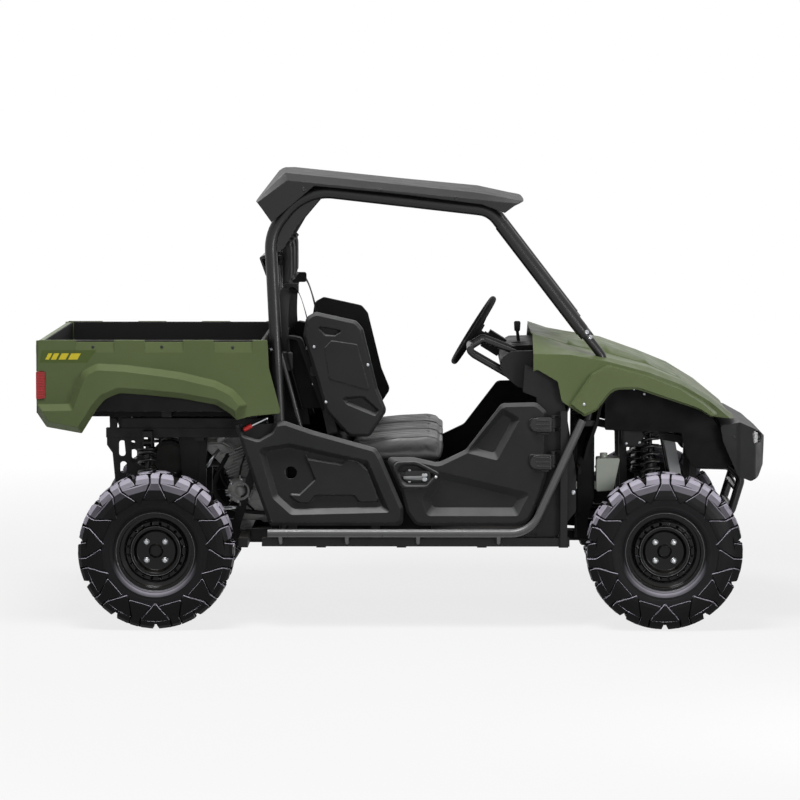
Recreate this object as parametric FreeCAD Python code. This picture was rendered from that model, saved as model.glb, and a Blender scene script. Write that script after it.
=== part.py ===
"""Side by side utility vehicle with a dumping cargo bed, open cab, roll cage and hard top.

Frame: +X is the way it drives, +Y its left side, +Z up. The origin is on the ground, at the middle of
the overall length and width. Lengths are in millimetres. Each node is written to parts/NODE.step.
"""
import FreeCAD
import Part
import math
import os

V = FreeCAD.Vector
OUT = "parts"

# ---------------------------------------------------------------- driving dimensions
OVERALL_LENGTH = 3100.0
NOSE_X = OVERALL_LENGTH / 2
TAIL_X = -OVERALL_LENGTH / 2
WHEELBASE = 2140.0
REAR_AXLE_X = -1043.0
FRONT_AXLE_X = REAR_AXLE_X + WHEELBASE
OVER_TYRES = 1570.0
CLEAR = 0.3                    # gap left between faces that seat on each other
MOVE_CLEAR = 5.0               # gap left between pieces that move past each other
SEAM = 0.8                     # gap between neighbouring body panels
RUN = 0.05                     # radial clearance of a pin that turns in its hole

TYRE_R = 331.0
AXLE_Z = 320.0                 # axles above the body's datum plane
LIFT = TYRE_R - AXLE_Z         # the datum plane above the ground, added as each node is written
FRONT_TYRE_W = 205.0
REAR_TYRE_W = 250.0
BEAD_R = 156.0                 # where the tyre sits on the rim
RIM_LIP_R = 168.0
RIM_WALL = 4.0
STUD_CIRCLE_R = 55.0
STUDS = 4
VENTS = 20
VENT_CIRCLE_R = 116.0
HUB_FACE_FRONT = 30.0          # hub face, outboard of the tyre's middle
HUB_FACE_REAR = 50.0
KINGPIN_TO_FACE = 91.0         # kingpin axis to hub face
BALL_HALF = 85.0               # ball joints above and below the axle
STEER_ARM = 95.0
STEER_DEG = 28.0
CV_R = 30.0
SHAFT_R = 13.0
HUB_SNOUT_R = 19.5
DIFF_Z = 432.0
RACK_Z = 382.0
ARM_Z = 407.0                  # steering arms, above the rack's eyes

CAB_HALF = 640.0               # inside faces of doors and side covers
SIDE_Y = 695.0                 # outside faces of doors and side covers
RAIL_Y = 300.0
RAIL = 50.0
BELLY_Z = 314.0
RAIL_Z = 320.0
FLOOR_Z = 370.3
FLOOR_T = 6.0
SEAT_DECK_Z = 690.0
POST_X = 660.0                 # door hinge posts
DOOR_AXIS_X = 628.0
DOOR_AXIS_Y = 703.0
DOOR_HINGE_Z = (707.0, 858.0)

CAGE_Y = 612.0
CAGE_R = 26.0
ROOF_T = 9.0

BED_PIVOT_X = -1248.0
BED_PIVOT_Z = 835.0
BED_HALF = 660.0               # inside of the cargo tub
BED_WALL = 12.0
BED_FLOOR_Z = 905.0
BED_RIM_Z = 1206.0
BED_CHANNEL_Z = 858.0          # underside of the bed's two channels
BED_FRONT_X = -588.0
BED_REAR_X = -1505.0
BED_SKIN_Y = 688.0             # inside face of the green side panels
BED_SKIN_T = 12.0
FLARE = 42.0
GATE_T = 26.0
GATE_AXIS_X = BED_REAR_X - 16.0
GATE_AXIS_Z = 902.0
GATE_HINGE_Y = (-450, 0, 450)

SEAT_W = 390.0
SEAT_PITCH = 398.0

WHEEL_COLUMN_Y = 350.0
STEER_WHEEL_AT = (303.0, 1188.0)
STEER_WHEEL_R = 162.0
COLUMN_RAKE = math.atan2(174.0, 279.0)


# ---------------------------------------------------------------- helpers
def box(x0, x1, y0, y1, z0, z1):
    return Part.makeBox(x1 - x0, y1 - y0, z1 - z0, V(x0, y0, z0))


def mirror(shape):
    return shape.mirror(V(0, 0, 0), V(0, 1, 0))


def both(shape):
    """The shape and its mirror image on the other side of the vehicle."""
    return [shape, mirror(shape)]


def fuse(shapes):
    shapes = list(shapes)
    made = shapes[0].multiFuse(shapes[1:]) if len(shapes) > 1 else shapes[0]
    return made.removeSplitter()


def corner_edges(points):
    """Edges of a closed outline. Each point is (a, b) or (a, b, radius), and radius rounds that corner."""
    n = len(points)
    ends = []
    for i, p in enumerate(points):
        a, b = p[0], p[1]
        r = p[2] if len(p) > 2 else 0.0
        here = V(a, b, 0)
        before = V(points[i - 1][0], points[i - 1][1], 0)
        after = V(points[(i + 1) % n][0], points[(i + 1) % n][1], 0)
        room = 0.46 * min((before - here).Length, (after - here).Length)
        d1 = (before - here).normalize()
        d2 = (after - here).normalize()
        half = d1.getAngle(d2) / 2
        if r <= 0 or half > math.pi / 2 - 0.01:
            ends.append((here, None, here))
            continue
        back = min(r / math.tan(half), room)
        r = back * math.tan(half)
        way = (d1 + d2).normalize()
        middle = here + way * (r / math.sin(half) - r)
        ends.append((here + d1 * back, middle, here + d2 * back))
    edges = []
    for i in range(n):
        start, middle, end = ends[i]
        if middle is not None:
            edges.append(Part.Arc(start, middle, end).toShape())
        target = ends[(i + 1) % n][0]
        if (target - end).Length > 1e-6:
            edges.append(Part.LineSegment(end, target).toShape())
    return edges


PLANES = {
    "xz": FreeCAD.Matrix(1, 0, 0, 0, 0, 0, -1, 0, 0, 1, 0, 0, 0, 0, 0, 1),
    "xy": FreeCAD.Matrix(),
    "yz": FreeCAD.Matrix(0, 0, 1, 0, 1, 0, 0, 0, 0, 1, 0, 0, 0, 0, 0, 1),
}
NORMALS = {"xz": V(0, 1, 0), "xy": V(0, 0, 1), "yz": V(1, 0, 0)}


def outline(points, plane, at):
    """Closed wire of an outline drawn in a plane, moved along the plane's third axis."""
    wire = Part.Wire(Part.__sortEdges__(corner_edges(points)))
    wire = wire.transformGeometry(PLANES[plane]) if plane != "xy" else wire
    wire.translate(NORMALS[plane] * at)
    return wire


def slab(points, plane, low, high):
    """Outline pushed from one offset to another along the plane's third axis."""
    face = Part.Face(outline(points, plane, low))
    return face.extrude(NORMALS[plane] * (high - low))


def inset(points, d):
    """The outline with every side moved inwards by d (outwards if d is negative), corner for corner."""
    n = len(points)
    area = sum(points[i - 1][0] * points[i][1] - points[i][0] * points[i - 1][1] for i in range(n))
    turn = 1.0 if area > 0 else -1.0
    moved = []
    for i in range(n):
        p, q, s = points[i - 1], points[i], points[(i + 1) % n]
        d1 = V(q[0] - p[0], q[1] - p[1], 0).normalize()
        d2 = V(s[0] - q[0], s[1] - q[1], 0).normalize()
        n1 = V(-d1.y, d1.x, 0) * turn
        n2 = V(-d2.y, d2.x, 0) * turn
        way = (n1 + n2).normalize()
        step = d / max(0.35, way.dot(n1))
        r = q[2] if len(q) > 2 else 0.0
        moved.append((q[0] + way.x * step, q[1] + way.y * step, r))
    return moved


def tapered(points, plane, low, high, draft):
    """Like slab, with the far outline moved in by draft, so the sides slope."""
    return Part.makeLoft([outline(points, plane, low), outline(inset(points, draft), plane, high)], True, True)


def loft(wires):
    return Part.makeLoft(wires, True, True)


def run(points, radii):
    """Path of straight runs joined by tangent arcs."""
    edges = []
    start = V(*points[0])
    for i in range(1, len(points) - 1):
        here = V(*points[i])
        d1 = (V(*points[i - 1]) - here).normalize()
        d2 = (V(*points[i + 1]) - here).normalize()
        half = d1.getAngle(d2) / 2
        r = radii[i - 1]
        back = r / math.tan(half)
        a, b = here + d1 * back, here + d2 * back
        middle = here + (d1 + d2).normalize() * (r / math.sin(half) - r)
        if (a - start).Length > 1e-6:
            edges.append(Part.LineSegment(start, a).toShape())
        edges.append(Part.Arc(a, middle, b).toShape())
        start = b
    edges.append(Part.LineSegment(start, V(*points[-1])).toShape())
    return Part.Wire(edges)


def tube(points, r, bend=60.0):
    """Round bar along straight runs with tangent bends."""
    radii = bend if isinstance(bend, (list, tuple)) else [bend] * (len(points) - 2)
    path = run(points, radii)
    way = (V(*points[1]) - V(*points[0])).normalize()
    ring = Part.Wire([Part.Circle(V(*points[0]), way, r).toShape()])
    return path.makePipeShell([ring], True, False)


def rod(a, b, r):
    way = V(*b) - V(*a)
    return Part.makeCylinder(r, way.Length, V(*a), way)


def bar(a, b, across, up, side=V(0, 1, 0)):
    """Square bar between two points: across along side, up in the direction square to both."""
    a, b = V(*a), V(*b)
    way = (b - a).normalize()
    third = way.cross(side).normalize()
    corners = [a + side * (i * across / 2) + third * (j * up / 2) for i, j in ((-1, -1), (1, -1), (1, 1), (-1, 1))]
    return Part.Face(Part.makePolygon(corners + corners[:1])).extrude(b - a)


def drum_y(x, z, y0, y1, r):
    """Cylinder along Y between two sides, in either order."""
    return Part.makeCylinder(r, abs(y1 - y0), V(x, min(y0, y1), z), V(0, 1, 0))


def spin_y(points, x, y, z, side=1):
    """Revolves a closed outline of (along the axle, radius) points about the axle through (x, y, z)."""
    wire = Part.Wire(Part.__sortEdges__(corner_edges([(p[0] * side,) + tuple(p[1:]) for p in points])))
    face = Part.Face(wire)
    made = face.revolve(V(0, 0, 0), V(1, 0, 0), 360)
    made.rotate(V(0, 0, 0), V(0, 0, 1), 90)
    made.translate(V(x, y, z))
    return made


def soften(shape, radius, keep):
    """Fillets the edges that keep(edge) accepts, and gives the shape back as it was if none does."""
    chosen = [e for e in shape.Edges if keep(e)]
    return shape.makeFillet(radius, chosen) if chosen else shape


def solids_of(shapes):
    flat = []
    for s in shapes if isinstance(shapes, (list, tuple)) else [shapes]:
        flat += s.Solids
    return flat


def save(name, shapes):
    solids = solids_of(shapes)
    for s in solids:
        if s.Volume < 0:
            s.reverse()
        s.translate(V(0, 0, LIFT))
    whole = solids[0] if len(solids) == 1 else Part.makeCompound(solids)
    bad = [i for i, s in enumerate(solids) if not s.isValid()]
    whole.exportStep(os.path.join(OUT, name + ".step"))
    b = whole.BoundBox
    print(f"{name:22s} {len(solids)} solids  x {b.XMin:.0f}..{b.XMax:.0f}  y {b.YMin:.0f}..{b.YMax:.0f}  "
          f"z {b.ZMin:.0f}..{b.ZMax:.0f}" + (f"  INVALID {bad}" if bad else ""))


# ---------------------------------------------------------------- wheels
def tyre(x, width, side):
    """Hollow carcass without its lugs: beads, bulging sidewalls, round shoulders and a flat crown."""
    h, r = width / 2, TYRE_R
    outer = [
        (-(h - 34), BEAD_R), (-(h - 34), 176, 8), (-h, 214, 26), (-(h - 3), r - 44, 30), (-(h - 26), r - 5, 10),
        (-h * 0.35, r), (h * 0.35, r),
        (h - 26, r - 5, 10), (h - 3, r - 44, 30), (h, 214, 26), (h - 34, 176, 8), (h - 34, BEAD_R),
    ]
    inner = [
        (h - 52, BEAD_R), (h - 50, 184, 8), (h - 14, 218, 18), (h - 17, r - 48, 20), (h - 34, r - 22, 8),
        (-(h - 34), r - 22, 8), (-(h - 17), r - 48, 20), (-(h - 14), 218, 18), (-(h - 50), 184, 8), (-(h - 52), BEAD_R),
    ]
    return spin_y(outer + inner, x, side * (OVER_TYRES / 2 - h), AXLE_Z)


def rim(x, width, side, face):
    """Pressed steel wheel: barrel with drop centre, and a dished disc with vents and stud holes."""
    h = width / 2
    seat = BEAD_R - CLEAR
    f_in = h - 34 + CLEAR
    f_out = f_in + 5
    drop = 134.0
    barrel = [
        (-f_out, RIM_LIP_R, 2), (-f_in, RIM_LIP_R, 2), (-f_in, seat), (-f_in + 24, seat, 6), (-f_in + 38, drop, 6),
        (f_in - 38, drop, 6), (f_in - 24, seat, 6), (f_in, seat), (f_in, RIM_LIP_R, 2), (f_out, RIM_LIP_R, 2),
        (f_out, seat - RIM_WALL), (f_in - 25, seat - RIM_WALL, 6), (f_in - 39, drop - RIM_WALL, 6),
        (-f_in + 39, drop - RIM_WALL, 6), (-f_in + 25, seat - RIM_WALL, 6), (-f_out, seat - RIM_WALL),
    ]
    weld_r = drop - RIM_WALL + 1
    disc = [
        (face - 6, weld_r), (face - 6, weld_r - RIM_WALL), (face + 6, 124, 3), (face + 6, 108, 3), (face + 16, 102.5, 3),
        (face + 16, 95, 4), (face, 82, 4), (face, 30), (face + 14, 24), (face + 18, 24), (face + RIM_WALL, 31),
        (face + RIM_WALL, 80, 4), (face + 20, 93, 4), (face + 20, 105, 3), (face + 10, 110.5, 3), (face + 10, 125, 3),
        (face + 2, weld_r),
    ]
    y = side * (OVER_TYRES / 2 - h)
    made = fuse([spin_y(barrel, x, y, AXLE_Z, side), spin_y(disc, x, y, AXLE_Z, side)])
    cuts = []
    for i in range(VENTS):
        a = 2 * math.pi * (i + 0.5) / VENTS
        cx, cz = x + VENT_CIRCLE_R * math.cos(a), AXLE_Z + VENT_CIRCLE_R * math.sin(a)
        cuts.append(drum_y(cx, cz, y + side * (face - 5), y + side * (face + 35), 7.0))
    for i in range(STUDS):
        a = math.pi / 4 + i * math.pi / 2
        cx, cz = x + STUD_CIRCLE_R * math.cos(a), AXLE_Z + STUD_CIRCLE_R * math.sin(a)
        cuts.append(drum_y(cx, cz, y + side * (face - 3), y + side * (face + 8), 6.6))
    cut = made.cut(cuts)
    return max(cut.Solids, key=lambda s: s.Volume)


def hub(x, width, side, face):
    """Hub with brake disc, studs and nuts, which turns with the wheel."""
    yf = side * (OVER_TYRES / 2 - width / 2 + face)      # hub face, where the wheel disc seats
    at = lambda inboard: yf - side * inboard
    pieces = [
        drum_y(x, AXLE_Z, at(CLEAR), at(8), 68),
        drum_y(x, AXLE_Z, at(8), at(42), 34),
        drum_y(x, AXLE_Z, at(32), at(37), 98),
        drum_y(x, AXLE_Z, at(42), at(56), HUB_SNOUT_R),
        drum_y(x, AXLE_Z, at(-10), at(CLEAR), 22),
    ]
    for i in range(STUDS):
        a = math.pi / 4 + i * math.pi / 2
        cx, cz = x + STUD_CIRCLE_R * math.cos(a), AXLE_Z + STUD_CIRCLE_R * math.sin(a)
        pieces.append(drum_y(cx, cz, at(-26), at(CLEAR), 6))
        nut = Part.Face(Part.makePolygon([
            V(cx + 10.5 * math.cos(k * math.pi / 3), at(-(RIM_WALL + CLEAR)), cz + 10.5 * math.sin(k * math.pi / 3))
            for k in range(7)
        ])).extrude(V(0, side * 15, 0))
        pieces.append(nut)
    return fuse(pieces)


def kingpin_y(width, side, face):
    return side * (OVER_TYRES / 2 - width / 2 + face - KINGPIN_TO_FACE)


def knuckle(x, width, side, face, steered):
    """Upright that carries the hub: bearing housing, ball joint lugs, brake caliper and steering arm."""
    yk = kingpin_y(width, side, face)
    at = lambda out: yk + side * out
    z = AXLE_Z
    housing = [
        drum_y(x, z, at(-28), at(47), 47),
        box(x - 22, x + 22, min(at(-16), at(16)), max(at(-16), at(16)), z - BALL_HALF + 14, z + BALL_HALF - 14),
        Part.makeCylinder(9, 2 * (BALL_HALF - CLEAR), V(x, yk, z - BALL_HALF + CLEAR)),
        box(x + 40, x + 62, min(at(8), at(40)), max(at(8), at(40)), z - 24, z + 24),
        box(x + 52, x + 114, min(at(36), at(76)), max(at(36), at(76)), z - 32, z + 32),
    ]
    if steered:
        arm = bar((x - 14, at(0), z + 64), (x - STEER_ARM, at(0), ARM_Z), 22, 12)
        housing += [arm, Part.makeCylinder(13, 12, V(x - STEER_ARM, at(0), ARM_Z - 6))]
    made = fuse(housing)
    cuts = [
        Part.makeSphere(CV_R + 1, V(x, yk, z)),
        Part.makeCone(CV_R - 2, CV_R + 14, 34, V(x, at(-6), z), V(0, -side, 0)),
        drum_y(x, z, at(20), at(50), HUB_SNOUT_R + RUN),
        drum_y(x, z, at(KINGPIN_TO_FACE - 37 - 5), at(KINGPIN_TO_FACE - 32 + 5), 103),
    ]
    cut = made.cut(cuts)
    return fuse(sorted(cut.Solids, key=lambda s: -s.Volume)[:2]) if len(cut.Solids) > 1 else cut


# ---------------------------------------------------------------- suspension and drive
FRONT_LOWER_Z, FRONT_UPPER_Z = 300.0, 470.0
ARM_R = 14.0


def wishbone(x, y_in, z_in, spread, x_out, y_out, z_out, mouth, shift=0.0):
    """A arm: two tubes from frame bushes to one ball joint housing, with a cross tube."""
    legs = []
    share = 0.45
    mids = []
    for s in (-1, 1):
        inner = (x + shift + s * spread, y_in, z_in)
        outer = (x_out + s * mouth, y_out, z_out)
        legs.append(rod(inner, outer, ARM_R))
        legs.append(Part.makeCylinder(20, 52, V(inner[0] - 26, y_in, z_in), V(1, 0, 0)))
        mids.append(tuple(inner[k] + share * (outer[k] - inner[k]) for k in range(3)))
    legs.append(rod(mids[0], mids[1], ARM_R - 3))
    legs.append(Part.makeCylinder(21, 34, V(x_out, y_out, z_out - 17)))
    return fuse(legs)


def clevis(x, y, z, reach, up):
    """Two ears with a bolt across, which hold the eye of a damper at (x, y, z)."""
    pieces = [Part.makeCylinder(EYE_BOLT_R, 50, V(x - 25, y, z), V(1, 0, 0))]
    for s in (-1, 1):
        x0 = x + s * (EYE_HALF + CLEAR)
        ends = sorted((z - up * 14, z + up * reach))
        pieces.append(box(min(x0, x0 + s * 6), max(x0, x0 + s * 6), y - 15, y + 15, *ends))
    return fuse(pieces)


ARMS = [  # axle x, half track at the kingpin, lower y and z, spread, upper y and z, spread, shift
    (FRONT_AXLE_X, 621.5, 248.3, 332.0, 110.0, 269.3, 486.0, 105.0, 0.0),
    (REAR_AXLE_X, 619.0, 275.3, 332.0, 110.0, 284.3, 470.0, 60.0, 75.0),
]


def suspension_arms():
    made = []
    for (ax, yk, ly, lz, ls, uy, uz, us, shift), (tx, ty, tz, bx, by, bz) in zip(ARMS, SHOCKS):
        low, high = AXLE_Z - BALL_HALF - 18, AXLE_Z + BALL_HALF + 18
        lower = wishbone(ax, ly, lz, ls, ax, yk, low, 9)
        upper = wishbone(ax, uy, uz, us, ax, yk, high, 10, shift)
        seat = clevis(bx, by, bz, 44, -1)
        if ax > 0:
            upper = fuse([upper, seat])
        else:
            lower = fuse([lower, seat])
        made += both(lower) + both(upper)
    return made


def shock(top, bottom):
    """Damper with its coil spring as a plain sleeve between two seats, and an eye at each end."""
    t, b = V(*top), V(*bottom)
    way = (t - b).normalize()
    length = (t - b).Length
    at = lambda d: tuple(b + way * d)
    body = fuse([
        Part.makeCylinder(16, 2 * EYE_HALF, b - V(EYE_HALF, 0, 0), V(1, 0, 0)),
        Part.makeCylinder(16, 2 * EYE_HALF, t - V(EYE_HALF, 0, 0), V(1, 0, 0)),
        rod(at(8), at(30), 10),
        rod(at(26), at(length * 0.55), 22),
        rod(at(length * 0.5), at(length - 8), 9),
        rod(at(62), at(70), 44),
        rod(at(length - 34), at(length - 26), 44),
    ])
    for p in (t, b):
        body = body.cut(Part.makeCylinder(EYE_BOLT_R + CLEAR, 60, p - V(30, 0, 0), V(1, 0, 0)))
    spring = rod(at(70 + CLEAR), at(length - 34 - CLEAR), 42).cut(rod(at(60), at(length - 20), 32))
    return body, spring


EYE_HALF = 15.0
EYE_BOLT_R = 8.0
SHOCKS = [  # x top, y top, z top, x bottom, y bottom, z bottom
    (1050.0, 395.0, 846.0, 1050.0, 478.0, 490.0),
    (-1098.0, 410.0, 750.0, -1098.0, 478.0, 302.0),
]


def tie_rods():
    """Steering rack with both tie rods. It slides across, and its eyes lie under the steering arms."""
    x, z = FRONT_AXLE_X - STEER_ARM, RACK_Z
    yk = abs(kingpin_y(FRONT_TYRE_W, 1, HUB_FACE_FRONT))
    bars = [rod((x, -yk, z), (x, yk, z), 8), rod((x, -150, z), (x, 150, z), 11)]
    for side in (1, -1):
        bars.append(Part.makeCylinder(13, 24, V(x, side * yk, z - 12)))
        bars.append(drum_y(x, z, side * 150, side * 215, 17))
    made = fuse(bars)
    return made


def rack_housing():
    x, z = FRONT_AXLE_X - STEER_ARM, RACK_Z
    shell = fuse([drum_y(x, z, -85, 85, 20), box(x - 26, x + 26, -60, -20, PLATE_TOP + CLEAR, z + 6),
                  box(x - 26, x + 26, 20, 60, PLATE_TOP + CLEAR, z + 6)])
    return shell.cut(drum_y(x, z, -90, 90, 11 + RUN))


def drive_line():
    """Front and rear differentials, half shafts and propeller shaft, as separate solids."""
    made = []
    for x, reach, half_track, bell in ((FRONT_AXLE_X, 92.0, ARMS[0][1], 32), (REAR_AXLE_X, 105.0, ARMS[1][1], 34)):
        nose = 1 if x < 0 else -1
        ball = Part.makeSphere(80, V(x, 0, DIFF_Z)).common(box(x - 90, x + 90, -70, 70, 200, 600))
        made.append(fuse([ball, drum_y(x, DIFF_Z, -reach, reach, 40),
                          Part.makeCylinder(27, 112, V(x, 0, DIFF_Z), V(nose, 0, 0))]))
        for side in (1, -1):
            inner, outer = V(x, side * (reach + CLEAR), DIFF_Z), V(x, side * half_track, AXLE_Z)
            way = (outer - inner).normalize()
            shaft = fuse([
                drum_y(x, DIFF_Z, side * (reach + CLEAR), side * (reach + 24), bell),
                rod(tuple(V(x, side * (reach + 24), DIFF_Z - 4)), tuple(V(x, side * (reach + 24), DIFF_Z - 4) + way * 52), bell - 6),
                rod(tuple(V(x, side * (reach + 20), DIFF_Z - 4)), tuple(outer), SHAFT_R),
                Part.makeSphere(CV_R, outer),
            ])
            made.append(shaft)
    made.append(fuse([
        rod((-300, 0, DIFF_Z), (FRONT_AXLE_X - 140, 0, DIFF_Z), 16),
        Part.makeCylinder(25, 34, V(FRONT_AXLE_X - 112 - CLEAR - 34, 0, DIFF_Z), V(1, 0, 0)),
    ]))
    return made


# ---------------------------------------------------------------- frame
CROSS_X = [-680.0, -350.0, -10.0, 330.0, 675.0]


def frame_centre():
    pieces = []
    for side in (1, -1):
        y = side * RAIL_Y
        pieces.append(box(-715, 700, y - RAIL / 2, y + RAIL / 2, RAIL_Z, RAIL_Z + RAIL))
        pieces.append(box(-600, 700, min(side * 600, side * 650), max(side * 600, side * 650), RAIL_Z + 12, RAIL_Z + 48))
        pieces.append(box(POST_X, POST_X + 30, min(side * 640, side * 670), max(side * 640, side * 670), RAIL_Z + 12, 905))
        for x in (-470, -120):
            pieces.append(box(x - 18, x + 18, min(side * 640, side * (CAB_HALF + 12 - CLEAR)),
                              max(side * 640, side * (CAB_HALF + 12 - CLEAR)), RAIL_Z + 40, 500))
        for z in DOOR_HINGE_Z:
            for dz in (-33, 22):
                ear = slab([(DOOR_AXIS_X - 9, side * (DOOR_AXIS_Y - 10)), (DOOR_AXIS_X - 9, side * (DOOR_AXIS_Y + 9), 8),
                            (DOOR_AXIS_X + 6, side * (DOOR_AXIS_Y + 9), 8), (652, side * 680), (POST_X + 4, side * 668),
                            (POST_X + 4, side * 650)], "xy", z + dz, z + dz + 11)
                pieces.append(ear)
            pieces.append(rod((DOOR_AXIS_X, side * DOOR_AXIS_Y, z - 30), (DOOR_AXIS_X, side * DOOR_AXIS_Y, z + 30), 5))
            pieces.append(box(POST_X, POST_X + 8, min(side * 640, side * 670), max(side * 640, side * 670), z - 33, z + 33))
    for x in CROSS_X:
        pieces.append(box(x - 20, x + 20, -630, 630, RAIL_Z + 5, RAIL_Z + 45))
    pieces.append(box(-700, 700, -330, 330, BELLY_Z, RAIL_Z))
    return fuse(pieces)


REAR_PLATE = [(-1278, 772), (-1278, 735), (-1254, 700), (-1240, 545, 20), (-1150, 545, 20), (-1120, 640, 30), (-1120, 772)]
PLATE_SLOTS = [(-1212, 720, 14, 20), (-1162, 686, 13, 16), (-1207, 638, 14, 11), (-1184, 590, 12, 10), (-1166, 742, 9, 2)]  # x, z, half w, half h


def frame_rear():
    """Rear subframe: upper rails that carry the bed, uprights, slotted end plates and their cross tubes."""
    pieces = []
    for side in (1, -1):
        y = side * 330
        pieces.append(box(-1280, -560, y - 22, y + 22, 768, 808))
        pieces.append(box(-1214, -592, y - 17, y + 17, 806, BED_CHANNEL_Z - 8))
        pieces.append(slab([(-975, 768), (-860, 768), (-860, 520, 20), (-955, 545, 30)], "xz", y - 86, y - 80) if side > 0 else
                      slab([(-975, 768), (-860, 768), (-860, 520, 20), (-955, 545, 30)], "xz", y + 80, y + 86))
        pieces.append(bar((-600, y, 785), (-735, side * 300, 352), 36, 36))
        pieces.append(bar((-878, side * 245, 335), (-868, side * 245, 770), 32, 32))
        pieces.append(bar((-700, side * 235, 335), (-1215, side * 235, 335), 40, 40))
        pieces.append(bar((-880, side * 250, 470), (-1190, side * 250, 470), 28, 28))
        pieces.append(bar((-1200, y, 575), (-1198, side * 235, 335), 30, 30))
        pieces.append(box(-900, -860, min(side * 240, side * 340), max(side * 240, side * 340), 752, 772))
        tab = fuse([box(BED_PIVOT_X - 16, BED_PIVOT_X + 16, y - 22, y - 8, 800, BED_PIVOT_Z),
                    drum_y(BED_PIVOT_X, BED_PIVOT_Z, y - 22, y - 8, 16), drum_y(BED_PIVOT_X, BED_PIVOT_Z, y - 15, y + 16, 8)])
        pieces.append(tab)
        plate = slab(REAR_PLATE, "xz", y - 5, y + 5)
        slots = []
        for sx, sz, w, h in PLATE_SLOTS:
            r = w - 0.5
            slots.append(slab([(sx - w, sz - h - w, r), (sx + w, sz - h - w, r), (sx + w, sz + h + w, r),
                               (sx - w, sz + h + w, r)], "xz", y - 30, y + 30))
        pieces.append(plate.cut(slots))
        tx, ty, tz = SHOCKS[1][:3]
        pieces.append(box(tx - 21, tx + 21, min(side * 330, side * (ty + 15)), max(side * 330, side * (ty + 15)), 774, 800))
        pieces.append(clevis(tx, side * ty, tz, 30, 1))
    for x, z, reach in ((-1200, 788, 352), (-1020, 788, 352), (-640, 788, 352), (-1172, 335, 255), (-878, 335, 261), (-718, 340, 318)):
        pieces.append(box(x - 18, x + 18, -reach, reach, z - 18, z + 18))
    made = fuse(pieces).cut(frame_centre())
    return max(made.Solids, key=lambda q: q.Volume)


RECEIVER_IN = 25.6
RECEIVER_OUT = 32.0
RECEIVER_Z = 385.6
RECEIVER_X = -1330.0
PIN_HOLE_R = 8.2
PIN_HOLE_X = -1300.0


def hitch():
    """Square receiver tube with its pin hole, on a cross tube between the rear plates."""
    z = RECEIVER_Z
    tube_out = box(RECEIVER_X, -1150, -RECEIVER_OUT, RECEIVER_OUT, z - RECEIVER_OUT, z + RECEIVER_OUT)
    cross = box(-1205, -1165, -(215 - CLEAR), 215 - CLEAR, z - 20, z + 20)
    made = fuse([tube_out, cross])
    made = made.cut([
        box(RECEIVER_X - 5, -1140, -RECEIVER_IN, RECEIVER_IN, z - RECEIVER_IN, z + RECEIVER_IN),
        drum_y(PIN_HOLE_X, z, -60, 60, PIN_HOLE_R),
    ])
    return made


PLATE_TOP = 317.0
SHELF_Z = 866.0


def frame_front():
    """Front subframe: lower rails, radiator and damper towers, upper rails, cage shelf and bumper horns."""
    pieces = []
    for side in (1, -1):
        y = side * 210
        span = lambda a, b: sorted((side * a, side * b))
        pieces.append(bar((690, side * 280, 345), (960, y, 332), 36, 36))
        pieces.append(bar((950, y, 332), (1262, y, 332), 36, 36))
        pieces.append(bar((1245, y, 332), (1245, y, 720), 32, 32))
        pieces.append(bar((950, y, 332), (940, y, 800), 32, 32))
        pieces.append(box(732, 768, *span(282, 318), 335, 865))
        pieces.append(bar((750, side * 300, 847), (950, side * 235, 800), 32, 32))
        pieces.append(bar((930, side * 235, 800), (1290, side * 235, 735), 32, 32))
        pieces.append(bar((940, side * 235, 486), (1258, side * 235, 486), 28, 28))
        pieces.append(bar((1280, side * 250, 735), (NOSE_X, side * 250, 735), 28, 28))
        pieces.append(bar((752, side * 300, 850), (652, side * 300, 1050), 28, 28))
        pieces.append(box(732, 810, *span(282, 644), SHELF_Z - 24, SHELF_Z))
        tx, ty, tz = SHOCKS[0][:3]
        pieces.append(box(tx - 32, tx + 32, *span(215, ty + 16), tz + 22, tz + 34))
        pieces.append(box(tx - 20, tx + 20, *span(220, 250), 770, tz + 30))
        pieces.append(clevis(tx, side * ty, tz, 30, 1))
    for x, z, reach in ((950, 330, 225), (1246, 335, 225), (940, 800, 250), (750, 847, 318), (1288, 735, 264), (1245, 700, 226)):
        pieces.append(box(x - 14, x + 14, -reach, reach, z - 14, z + 14))
    pieces.append(box(705, 1262, -225, 225, PLATE_TOP - 5, PLATE_TOP))
    wells = [slab(LINER, "xz", *sorted((s * 460, s * 700))) for s in (1, -1)]
    for w in wells:
        w.translate(V(-CLEAR, 0, 0))
    made = fuse(pieces).cut([bumper_solid(), dash_body(), frame_centre(), *wells])
    return max(made.Solids, key=lambda q: q.Volume)


def sill_bar():
    """Side guard tube along the sill, rising in front of the door to the fender."""
    y = SIDE_Y + 10
    path = [(-573, y, 394), (535, y, 394), (752, y, 872)]
    guard = tube(path, 17, 130)
    legs = [rod((x, 650 + CLEAR, RAIL_Z + 30), (x, y, 390), 11) for x in (-520, -240, 60, 400)]
    made = fuse([guard, *legs])
    return made.cut(box(-700, 760, 600, 650 + CLEAR, 300, 500))


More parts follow.
